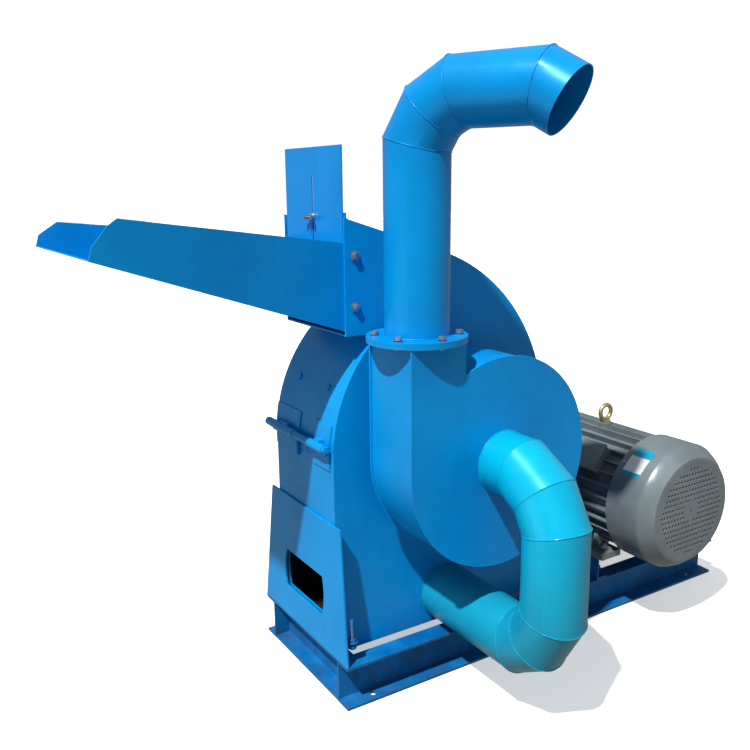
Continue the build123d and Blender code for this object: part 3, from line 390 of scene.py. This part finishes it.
def heightOf(tree, coords):
    split = tree.nodes.new("ShaderNodeSeparateXYZ")
    tree.links.new(coords, split.inputs["Vector"])
    return split.outputs["Z"]


def sprayPaint(name, look):
    # brushed and sprayed enamel on rolled sheet: patchy tone, runs, dust low down, worn edges, painted shade
    # low down
    material, tree, shader, coords = startMaterial(name)
    patch = noise(tree, coords, look["patchScale"], 5.0, 0.6)
    colour = ramp(tree, patch, [(0.32, look["deep"]), (0.52, look["main"]), (0.72, look["bright"])])
    runs = noise(tree, coords, look["runScale"], 3.0, 0.5, look["runStretch"])
    colour = blendColour(tree, remap(tree, runs, 0.52, 0.78, 0.0, look["runs"]), colour, look["deep"])
    dust = noise(tree, coords, look["dustScale"], 6.0, 0.7)
    low = remap(tree, heightOf(tree, coords), look["dustFrom"], look["dustTo"], 1.0, 0.0)
    dirty = mathNode(tree, "MULTIPLY", remap(tree, dust, 0.42, 0.72, 0.0, look["dust"]), low)
    colour = blendColour(tree, dirty, colour, look["dustTint"])
    # painted shade: the colour darkens towards the bottom, standing in for the lower part being less lit
    dull = remap(tree, heightOf(tree, coords), look["dullFrom"], look["dullTo"], look["dull"], 0.0)
    colour = blendColour(tree, dull, colour, look["dullTint"])
    chips = remap(tree, noise(tree, coords, look["chipScale"], 5.0, 0.72), 0.46, 0.6, 0.0, 1.0)
    edges = edgeMask(tree, look["edgeWidth"], *look["edgeTurn"])
    worn = mathNode(tree, "MULTIPLY", mathNode(tree, "MULTIPLY", edges, chips), look["wear"])
    colour = blendColour(tree, worn, colour, look["wearTint"])
    tree.links.new(colour, shader.inputs["Base Color"])
    gloss = remap(tree, noise(tree, coords, look["glossScale"], 4.0, 0.6), 0.3, 0.7, *look["gloss"])
    gloss = mathNode(tree, "ADD", gloss, mathNode(tree, "MULTIPLY", dirty, look["dustRough"]), True)
    tree.links.new(gloss, shader.inputs["Roughness"])
    wave = bumpFrom(tree, noise(tree, coords, look["waveScale"], 2.0, 0.4), look["waveDepth"], look["wave"])
    fine = noise(tree, coords, look["peelScale"], 2.0, 0.5)
    peel = bumpFrom(tree, fine, look["peelDepth"], look["peel"], wave)
    tree.links.new(peel, shader.inputs["Normal"])
    shader.inputs["Specular IOR Level"].default_value = look["shine"]
    shader.inputs["Specular Tint"].default_value = (*look["shineTint"], 1)
    return material


stainScale = 30.0     # size of the stained patches on every metal


def metal(name, look):
    # bare, plated or cast metal with grain and stained patches; rubber and scale use it too
    material, tree, shader, coords = startMaterial(name)
    grain = noise(tree, coords, look["grainScale"], 6.0, 0.65, look.get("stretch"))
    colour = ramp(tree, grain, [(0.3, look["deep"]), (0.55, look["main"]), (0.8, look["bright"])])
    stain = remap(tree, noise(tree, coords, stainScale, 5.0, 0.7), 0.5, 0.75, 0.0, look["stain"])
    colour = blendColour(tree, stain, colour, look["stainTint"])
    tree.links.new(colour, shader.inputs["Base Color"])
    rough = remap(tree, grain, 0.3, 0.75, *look["gloss"])
    tree.links.new(rough, shader.inputs["Roughness"])
    shader.inputs["Metallic"].default_value = look["metallic"]
    tree.links.new(bumpFrom(tree, grain, look["reliefDepth"], look["relief"]), shader.inputs["Normal"])
    return material


bluePaint = {
    "deep": (0.0, 0.235, 0.62), "main": (0.0, 0.285, 0.72), "bright": (0.0, 0.325, 0.79),
    "patchScale": 3.2, "runs": 0.3, "runScale": 9.0, "runStretch": (3.0, 3.0, 0.35),
    "dustScale": 34.0, "dustRough": 0.3, "chipScale": 75.0, "edgeTurn": (0.80, 0.985),
    "glossScale": 14.0, "waveScale": 4.5, "waveDepth": 0.004, "peelScale": 380.0, "peelDepth": 0.0002,
    "dust": 0.45, "dustTint": (0.055, 0.26, 0.50), "dustFrom": 0.05, "dustTo": 0.5,
    "edgeWidth": 0.003, "wear": 0.35, "wearTint": (0.05, 0.42, 0.78),
    "dull": 0.0, "dullTint": (0.02, 0.2, 0.4), "dullFrom": 0.1, "dullTo": 0.5,
    "gloss": (0.26, 0.40), "wave": 0.22, "peel": 0.25, "shine": 0.75, "shineTint": (0.22, 0.70, 1.0),
}
channelPaint = dict(
    bluePaint, deep=(0.0, 0.09, 0.27), main=(0.002, 0.14, 0.40), bright=(0.004, 0.20, 0.54),
    patchScale=7.0, runs=0.6, dust=0.6, dustTint=(0.06, 0.05, 0.045), dustFrom=0.0, dustTo=0.14,
    wear=0.9, wearTint=(0.15, 0.075, 0.045), edgeWidth=0.004, gloss=(0.34, 0.52), shine=0.4,
)
pipePaint = dict(
    bluePaint, deep=(0.0, 0.35, 0.56), main=(0.0, 0.415, 0.66), bright=(0.0, 0.48, 0.75),
    dustTint=(0.05, 0.26, 0.36), gloss=(0.22, 0.36), shine=0.9, shineTint=(0.35, 0.85, 1.0),
    # painted shade: the riser's lower part is coloured darker and greyer
    dull=0.75, dullTint=(0.008, 0.25, 0.38), dullFrom=0.3, dullTo=0.56,
)
motorPaint = dict(
    bluePaint, deep=(0.12, 0.15, 0.165), main=(0.16, 0.20, 0.215), bright=(0.21, 0.25, 0.265),
    patchScale=5.0, runs=0.1, dustTint=(0.13, 0.11, 0.09), wearTint=(0.3, 0.31, 0.3), wear=0.4,
    gloss=(0.26, 0.38), wave=0.05, peel=0.5, shine=1.0, shineTint=(0.85, 0.95, 1.0),
)
# near-black bare plate for the casing's inside: mill scale, made darker still as painted shade
darkScaleAndShade = {
    "main": (0.012, 0.013, 0.015), "deep": (0.006, 0.006, 0.007), "bright": (0.03, 0.03, 0.032),
    "grainScale": 40.0, "stain": 0.3, "stainTint": (0.03, 0.025, 0.02), "gloss": (0.6, 0.85),
    "metallic": 0.2, "reliefDepth": 0.0005, "relief": 0.4,
}
zincPlate = {
    "main": (0.34, 0.42, 0.50), "deep": (0.16, 0.22, 0.28), "bright": (0.62, 0.68, 0.72), "grainScale": 60.0,
    "stain": 0.2, "stainTint": (0.16, 0.19, 0.22), "gloss": (0.30, 0.5), "metallic": 0.75,
    "reliefDepth": 0.0004, "relief": 0.25,
}
goldZinc = dict(
    zincPlate, main=(0.60, 0.50, 0.28), deep=(0.40, 0.30, 0.14), bright=(0.78, 0.70, 0.46),
    stainTint=(0.45, 0.32, 0.36), grainScale=35.0,
)
castIron = {
    "main": (0.11, 0.115, 0.12), "deep": (0.06, 0.06, 0.065), "bright": (0.17, 0.17, 0.175),
    "grainScale": 220.0, "stain": 0.4, "stainTint": (0.13, 0.07, 0.045), "gloss": (0.5, 0.72),
    "metallic": 0.5, "reliefDepth": 0.0006, "relief": 0.6,
}
turnedSteel = dict(
    zincPlate, main=(0.46, 0.46, 0.46), stretch=(60.0, 1.0, 60.0), grainScale=12.0, stain=0.5,
    stainTint=(0.22, 0.13, 0.08),
)
hammerSteel = dict(
    castIron, main=(0.23, 0.22, 0.21), deep=(0.12, 0.11, 0.105), bright=(0.36, 0.35, 0.34), grainScale=48.0,
    metallic=0.85, gloss=(0.35, 0.6), stain=0.6,
)
rubberBelt = {
    "main": (0.022, 0.022, 0.023), "deep": (0.012, 0.012, 0.012), "bright": (0.05, 0.05, 0.05),
    "grainScale": 300.0, "stain": 0.25, "stainTint": (0.12, 0.1, 0.08), "gloss": (0.6, 0.85), "metallic": 0.0,
    "reliefDepth": 0.0005, "relief": 0.5,
}
copperCoil = dict(
    castIron, main=(0.30, 0.13, 0.06), deep=(0.14, 0.07, 0.04), bright=(0.42, 0.2, 0.1),
    stretch=(1.0, 14.0, 1.0), grainScale=20.0,
)


stickerLook = {
    "bottomBand": 0.16, "topBand": 0.26,     # shares of the sticker's height
    "paper": ((0.74, 0.78, 0.80), (0.88, 0.90, 0.91)), "band": ((0.0, 0.27, 0.48), (0.0, 0.38, 0.58)),
    "grainScale": 120.0, "gloss": (0.25, 0.4), "reliefDepth": 0.0002, "relief": 0.2,
}


def blankSticker(name, node, look):
    # plain sticker: a blue band along the top and the bottom, empty pale field between
    material, tree, shader, coords = startMaterial(name)
    low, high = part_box(node)
    height = heightOf(tree, coords)
    span = high.z - low.z
    field = mathNode(
        tree, "MULTIPLY",
        mathNode(tree, "GREATER_THAN", height, low.z + span * look["bottomBand"]),
        mathNode(tree, "LESS_THAN", height, high.z - span * look["topBand"]),
    )
    grain = noise(tree, coords, look["grainScale"], 3.0)
    paper = ramp(tree, grain, list(zip((0.3, 0.7), look["paper"])))
    band = ramp(tree, grain, list(zip((0.3, 0.7), look["band"])))
    tree.links.new(blendColour(tree, field, band, paper), shader.inputs["Base Color"])
    tree.links.new(remap(tree, grain, 0.2, 0.8, *look["gloss"]), shader.inputs["Roughness"])
    tree.links.new(bumpFrom(tree, grain, look["reliefDepth"], look["relief"]), shader.inputs["Normal"])
    return material


looks = {
    "body_blue": sprayPaint("bodyBluePaint", bluePaint),
    "base_blue": sprayPaint("channelBluePaint", channelPaint),
    "suction_cyan": sprayPaint("suctionPipePaint", pipePaint),
    "motor_grey": sprayPaint("motorGreyPaint", motorPaint),
    "bare_steel": metal("turnedShaftSteel", turnedSteel),
    "zinc": metal("zincPlatedSteel", zincPlate),
    "yellow_zinc": metal("yellowZincSteel", goldZinc),
    "cast_grey": metal("castIronGrey", castIron),
    "hard_steel": metal("hammerPlateSteel", hammerSteel),
    "belt_rubber": metal("beltRubber", rubberBelt),
    "blank_label": blankSticker("plainSticker", "rating_plate", stickerLook),
    "windings": metal("stackedLaminations", copperCoil),
}
for node, obj in nodes.items():
    obj.data.materials.clear()
    obj.data.materials.append(looks[slotOfNode(node)])
print("materials ready")


def makeFloor(look):
    clearSelection()
    bpy.ops.mesh.primitive_plane_add(size=look["floorSize"], location=(0, 0, -look["floorDrop"]))
    floor = bpy.context.object
    floor.name = "studioFloor"
    material, tree, shader, coords = startMaterial("paleFloor")
    tint = look["floorTint"]
    mottled = noise(tree, coords, 2.0, 3.0)
    dim = tuple(part * look["floorDim"] for part in tint)
    tree.links.new(ramp(tree, mottled, [(0.3, dim), (0.7, tint)]), shader.inputs["Base Color"])
    shader.inputs["Roughness"].default_value = look["floorRough"]
    shader.inputs["Emission Color"].default_value = (1, 1, 1, 1)
    shader.inputs["Emission Strength"].default_value = look["floorLift"]
    floor.data.materials.append(material)
    floor.visible_diffuse = False     # the world's ground light stands in for its bounce
    floor.visible_glossy = False


makeFloor(lightLook)
print("floor laid")

# sheet, plate and cast pieces: the frame's own shapes with their edges broken by these widths
edgeBreaks = {
    "lower_casing": 0.0012, "hood_shell": 0.0012, "front_leg_plate": 0.0014, "rear_leg_plate": 0.0014,
    "feed_chute": 0.0009, "feed_gate": 0.0010, "gate_guides": 0.0008, "fan_front_plate": 0.0012,
    "fan_back_plate": 0.0012, "fan_wrapper": 0.0009, "rail_near": 0.0022, "rail_far": 0.0022,
    "cross_members": 0.0020, "motor_slides": 0.0018, "motor_frame": 0.0012, "motor_end_shields": 0.0020,
    "motor_fan_cover": 0.0006, "terminal_box": 0.0030, "terminal_box_lid": 0.0030, "belt_guard": 0.0010,
    "bearing_brackets": 0.0010, "bearing_housings": 0.0030, "driven_pulley": 0.0008, "motor_pulley": 0.0008,
    "hood_hinge_leaves": 0.0010, "casing_hinge_leaves": 0.0010,
    "gooseneck": 0.0006, "intake_elbow": 0.0006, "intake_riser": 0.0006,
    "swing_bolt_near": 0.0010, "swing_bolt_far": 0.0010, "hinge_pins": 0.0010, "gate_wing_nut": 0.0012,
}


edgeLook = {
    "pipes": ("gooseneck", "intake_elbow", "intake_riser"),
    "flatWithin": 0.6,      # all angles are in degrees
    "sharpFrom": 38,
    "smooth": 32,
    "pipeSmooth": 13,       # the mitres stay crisp
    "flatWeight": 80,       # the flats stay flat beside their broken edges
}


def brokenEdges(node, width, look):
    piece = mergedCopy(node)
    bpy.ops.mesh.dissolve_limited(angle_limit=radians(look["flatWithin"]))
    leaveEdit()
    if piece.data.has_custom_normals:
        bpy.ops.mesh.customdata_custom_splitnormals_clear()
    applyModifier(
        piece, "BEVEL", width=width, segments=2, limit_method="ANGLE",
        angle_limit=radians(look["sharpFrom"]), use_clamp_overlap=True, miter_outer="MITER_ARC",
    )
    slotName = slotOfNode(node)
    smooth = look["pipeSmooth"] if node in look["pipes"] else look["smooth"]
    finishPiece(piece, pieceName(node), looks[slotName], bodyOfNode(node), smooth, (node,))
    applyModifier(piece, "WEIGHTED_NORMAL", mode="FACE_AREA", weight=look["flatWeight"], keep_sharp=True)
    return piece


broken = {}
for node, width in edgeBreaks.items():
    broken[node] = brokenEdges(node, width, edgeLook)
    print("edges broken:", node)


def paintShadeInside(piece, material, wall):
    # everything more than the wall's thickness in from the outer box gets the near-black inside plate, bare
    # scale made darker as painted shade for the casing's hollow, which takes in the outer face of a wall that
    # stands back from that box
    low = [min(vert.co[axis] for vert in piece.data.vertices) for axis in range(3)]
    high = [max(vert.co[axis] for vert in piece.data.vertices) for axis in range(3)]
    piece.data.materials.append(material)
    for face in piece.data.polygons:
        centre = face.center
        if all(low[axis] + wall < centre[axis] < high[axis] - wall for axis in (0, 1)):
            if centre.z > low[2] + wall:
                face.material_index = 1


insideLook = {"wall": 0.0035}
# the casing's inside faces are coloured near black: bare plate with painted shade
paintShadeInside(broken["lower_casing"], metal("bareInsidePlate", darkScaleAndShade), insideLook["wall"])
print("casing dark inside")


# hexagon bolts with washers, threads and nuts, made once per size
def looseBoxes(node):
    # low and high corners of each loose solid in a node
    mergedCopy(node)
    bpy.ops.mesh.separate(type="LOOSE")
    leaveEdit()
    boxes = []
    for part in list(bpy.context.selected_objects):
        points = [vert.co for vert in part.data.vertices]
        low = Vector([min(point[axis] for point in points) for axis in range(3)])
        high = Vector([max(point[axis] for point in points) for axis in range(3)])
        boxes.append((low, high))
        bpy.data.objects.remove(part)
    return sorted(boxes, key=lambda box: tuple(box[0]))


def roundBlock(radius, height, base, sides, edge):
    # a disc or a hexagon from base up, with its end faces' edges taken off
    clearSelection()
    middle = base + height / 2
    bpy.ops.mesh.primitive_cylinder_add(vertices=sides, radius=radius, depth=height, location=(0, 0, middle))
    block = bpy.context.object
    selectFaces(block, lambda centre, normal: abs(normal.z) > 0.9)
    bpy.ops.mesh.bevel(offset=edge, segments=2, affect="EDGES")
    leaveEdit()
    return block


threadLook = {
    "diagonal": 1.42,       # of a square tooth, against its side
    "seat": 0.7,            # how far in the tooth's middle sits, against its side
    "steps": 14,
    "weldWithin": 0.00001,
    "longEnough": 2,        # pitches of free shank that show a thread
}


def threadCoil(radius, low, high, pitch, look):
    # one V tooth spun up the shank
    side = pitch / look["diagonal"]
    place = (radius - side * look["seat"], 0, low)
    clearSelection()
    bpy.ops.mesh.primitive_plane_add(size=side, location=place, rotation=(radians(90), radians(45), 0))
    tooth = bpy.context.object
    bpy.ops.object.transform_apply(location=True, rotation=True, scale=True)
    inner = min(range(4), key=lambda index: tooth.data.vertices[index].co.x)
    bpy.ops.object.mode_set(mode="EDIT")
    bpy.ops.mesh.select_mode(type="VERT")
    bpy.ops.mesh.select_all(action="DESELECT")
    leaveEdit()
    tooth.data.vertices[inner].select = True
    bpy.ops.object.mode_set(mode="EDIT")
    bpy.ops.mesh.delete(type="VERT")
    leaveEdit()
    turns = max(1, int((high - low) / pitch))
    applyModifier(
        tooth, "SCREW", angle=radians(360), screw_offset=pitch, iterations=turns,
        steps=look["steps"], render_steps=look["steps"], use_merge_vertices=True,
    )
    editAll(tooth)
    bpy.ops.mesh.remove_doubles(threshold=look["weldWithin"])
    bpy.ops.mesh.normals_make_consistent(inside=False)
    leaveEdit()
    return tooth


boltForm = {     # shares of the washer's thickness and of the shank's radius
    "washerSink": 0.6, "washerEdge": 0.3, "washerSides": 24,
    "core": 0.88, "coreEdge": 0.15, "coreSides": 16, "coreShort": 0.0004,
    "threadEnd": 0.5,     # of a pitch, left plain at the end
}


def makeBolt(look, length):
    # points along +Z with the top of the head or upper thread at 0
    form = boltForm
    head, thick, pitch, shank = look["headHeight"], look["washerThick"], look["pitch"], look["shank"]
    showsThread = pitch * threadLook["longEnough"]
    top = -look["above"]
    washerBase = top - head - thick * form["washerSink"]
    coreLength = length - form["coreShort"]
    pieces = [
        roundBlock(look["head"], head, top - head, 6, look["crown"]),
        roundBlock(look["washer"], thick, washerBase, form["washerSides"], thick * form["washerEdge"]),
        roundBlock(shank * form["core"], coreLength, -length, form["coreSides"], shank * form["coreEdge"]),
    ]
    if look["above"] > showsThread:
        pieces.append(threadCoil(shank, top, -pitch, pitch, threadLook))
    if look["nutHeight"]:
        nutBase = -length + look["nutOut"]
        pieces.append(roundBlock(look["head"], look["nutHeight"], nutBase, 6, look["crown"]))
        if look["nutOut"] > showsThread:
            threadFoot = -length + pitch * form["threadEnd"]
            pieces.append(threadCoil(shank, threadFoot, nutBase, pitch, threadLook))
    return joinAll(pieces)


boltSizes = {
    "chute_bolts": {
        "head": 0.0095, "headHeight": 0.0068, "crown": 0.0011, "washer": 0.0125, "washerThick": 0.0018,
        "shank": 0.005, "pitch": 0.0016, "above": 0.0, "nutHeight": 0.007, "nutOut": 0.0045,
    },
    "flange_bolts": {
        "head": 0.0095, "headHeight": 0.0065, "crown": 0.0011, "washer": 0.0115, "washerThick": 0.0016,
        "shank": 0.005, "pitch": 0.0016, "above": 0.0, "nutHeight": 0.008, "nutOut": 0.004,
    },
    "motor_foot_bolts": {
        "head": 0.0125, "headHeight": 0.0091, "crown": 0.0014, "washer": 0.0155, "washerThick": 0.0022,
        "shank": 0.007, "pitch": 0.0019, "above": 0.0, "nutHeight": 0.011, "nutOut": 0.004,
    },
    "bearing_bolts": {
        "head": 0.0125, "headHeight": 0.0091, "crown": 0.0014, "washer": 0.0145, "washerThick": 0.0022,
        "shank": 0.007, "pitch": 0.0019, "above": 0.0, "nutHeight": 0.0, "nutOut": 0.0,
    },
}


def headSide(node, middle):
    # the chute's bolts look out from its two sides, all the others look up
    if node == "chute_bolts":
        return Vector((0, -1 if middle.y < 0 else 1, 0))
    return Vector((0, 0, 1))


def fitBolts(node, look):
    places = []
    for low, high in looseBoxes(node):
        middle = (low + high) / 2
        outward = headSide(node, middle)
        length = abs((high - low).dot(outward))
        places.append(facing(middle + outward * length / 2, outward))
    template = makeBolt(look, length)
    bolts = copyTo(template, places)
    dropTemplate(template)
    slotName = slotOfNode(node)
    name = pieceName(node)
    finishPiece(bolts, name, looks[slotName], bodyOfNode(node), edgeLook["smooth"], (node,))


for node, look in boltSizes.items():
    fitBolts(node, look)
    print("bolts made:", node)


# corner and slide studs: hexagon nuts with a threaded end standing up
studLook = {
    "head": 0.0108, "headHeight": 0.010, "crown": 0.0013, "washer": 0.0145, "washerThick": 0.0022,
    "shank": 0.006, "pitch": 0.0018, "nutHeight": 0.010, "nutOut": 0.003,
    "cornerLength": 0.07,     # a stud longer than this clamps the base itself
    "slidePlate": 0.008,      # the shorter ones clamp the motor slides through this plate
}


def fitStuds(node, look):
    groups = {}
    for low, high in looseBoxes(node):
        groups.setdefault((round(high.z - low.z, 4), round(low.z, 4)), []).append((low, high))
    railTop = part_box("rail_near")[1].z
    sets = []
    for (length, foot), boxes in sorted(groups.items()):
        radius = (boxes[0][1].y - boxes[0][0].y) / 2
        seat = railTop if length > look["cornerLength"] else railTop + look["slidePlate"]
        sized = dict(look, above=foot + length - seat - look["headHeight"])
        sized["head"] = max(look["head"], radius)
        template = makeBolt(sized, length)
        tops = [((low.x + high.x) / 2, (low.y + high.y) / 2, high.z) for low, high in boxes]
        sets.append(copyTo(template, [Matrix.Translation(top) for top in tops]))
        dropTemplate(template)
    studs = joinAll(sets)
    slotName = slotOfNode(node)
    finishPiece(studs, "baseStuds", looks[slotName], bodyOfNode(node), edgeLook["smooth"], (node,))


fitStuds("base_bolts", studLook)
print("studs made")


# weld beads round the pipe mitres, the fan eye and the casing
routes = {     # lengths between the mitres, and how far each leg leans
    "gooseneck": {
        "riserTop": 1.402, "links": (0.079, 0.073, 0.188, 0.064), "leans": (30, 60, 90, 120),
        "heading": 27.0, "radius": 0.077, "footLift": 0.009, "footRadius": 0.0785,
    },
    "intake": {
        "out": 0.070, "links": (0.090, 0.083), "drops": (30, 60), "lowLinks": (0.092, 0.074), "foot": 0.204,
        "radius": 0.079, "endInset": 0.0015, "endProud": 0.001,
    },
}
beadLook = {"width": 0.0015, "ripple": 0.0009, "rippleSize": 0.005, "round": 96, "section": 6, "smooth": 60}


def weldRing(centre, along, bendOut, stretch, radius, look):
    # a rippled ring in the plane across `along`, stretched towards bendOut
    clearSelection()
    bpy.ops.mesh.primitive_torus_add(
        major_radius=radius, minor_radius=look["width"],
        major_segments=look["round"], minor_segments=look["section"],
    )
    ring = bpy.context.object
    ring.scale = (stretch, 1, 1)
    bpy.ops.object.transform_apply(scale=True)
    along = Vector(along).normalized()
    side = (Vector(bendOut) - along * along.dot(Vector(bendOut))).normalized()
    turn = Matrix((side, along.cross(side), along)).transposed().to_4x4()
    ring.matrix_world = Matrix.Translation(Vector(centre)) @ turn
    bpy.ops.object.transform_apply(location=True, rotation=True)
    return ring


def rippled(piece, look):
    texture = bpy.data.textures.new("weldRipple", "CLOUDS")
    texture.noise_scale = look["rippleSize"]
    applyModifier(
        piece, "DISPLACE", texture=texture, strength=look["ripple"], mid_level=0.5, texture_coords="GLOBAL",
    )
    return piece


def mitreRings(points, radius, look):
    rings = []
    for before, here, after in zip(points, points[1:], points[2:]):
        comeIn = (here - before).normalized()
        goOut = (after - here).normalized()
        across = comeIn + goOut
        stretch = 2 / across.length
        rings.append(weldRing(here, across, goOut - comeIn, stretch, radius, look))
    return rings


def gooseneckPoints(route):
    low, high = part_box("flange_bolts")
    foot = Vector(((low.x + high.x) / 2, (low.y + high.y) / 2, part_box("fan_wrapper")[1].z))
    points = [foot, Vector((foot.x, foot.y, route["riserTop"]))]
    turn = radians(route["heading"])
    for link, lean in zip(route["links"], route["leans"]):
        flat = link * sin(radians(lean))
        step = Vector((flat * sin(turn), -flat * cos(turn), link * cos(radians(lean))))
        points.append(points[-1] + step)
    return points


def intakePoints(route):
    low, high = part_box("intake_elbow")
    middle = (low.x + high.x) / 2
    start = Vector((middle, high.y, high.z - route["radius"]))
    points = [start, start - Vector((0, route["out"], 0))]
    for link, drop in zip(route["links"], route["drops"]):
        points.append(points[-1] - Vector((0, link * cos(radians(drop)), link * sin(radians(drop)))))
    lowLegs = list(zip(route["lowLinks"], reversed(route["drops"])))     # the low bends mirror the upper ones
    lowDrop = sum(link * sin(radians(drop)) for link, drop in lowLegs)
    points.append(Vector((middle, points[-1].y, route["foot"] + lowDrop)))
    for link, drop in lowLegs:
        points.append(points[-1] + Vector((0, link * cos(radians(drop)), -link * sin(radians(drop)))))
    points.append(Vector((middle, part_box("intake_riser")[1].y, route["foot"])))
    return points


def finishWelds(rings, name, slotName):
    beads = rippled(joinAll(rings), beadLook)
    finishPiece(beads, name, looks[slotName], "stand", beadLook["smooth"])


gooseRoute = routes["gooseneck"]
goosePath = gooseneckPoints(gooseRoute)
gooseRings = mitreRings(goosePath, gooseRoute["radius"], beadLook)
gooseFoot = goosePath[0] + Vector((0, 0, gooseRoute["footLift"]))
gooseRings.append(weldRing(gooseFoot, (0, 0, 1), (1, 0, 0), 1, gooseRoute["footRadius"], beadLook))
finishWelds(gooseRings, "gooseneckWelds", "body_blue")

intakeRoute = routes["intake"]
intakePath = intakePoints(intakeRoute)
intakeRings = mitreRings(intakePath, intakeRoute["radius"], beadLook)
for end in (intakePath[0], intakePath[-1]):
    seat = end - Vector((0, intakeRoute["endInset"], 0))
    endRadius = intakeRoute["radius"] + intakeRoute["endProud"]
    intakeRings.append(weldRing(seat, (0, 1, 0), (1, 0, 0), 1, endRadius, beadLook))
finishWelds(intakeRings, "intakeWelds", "suction_cyan")
print("weld beads made")
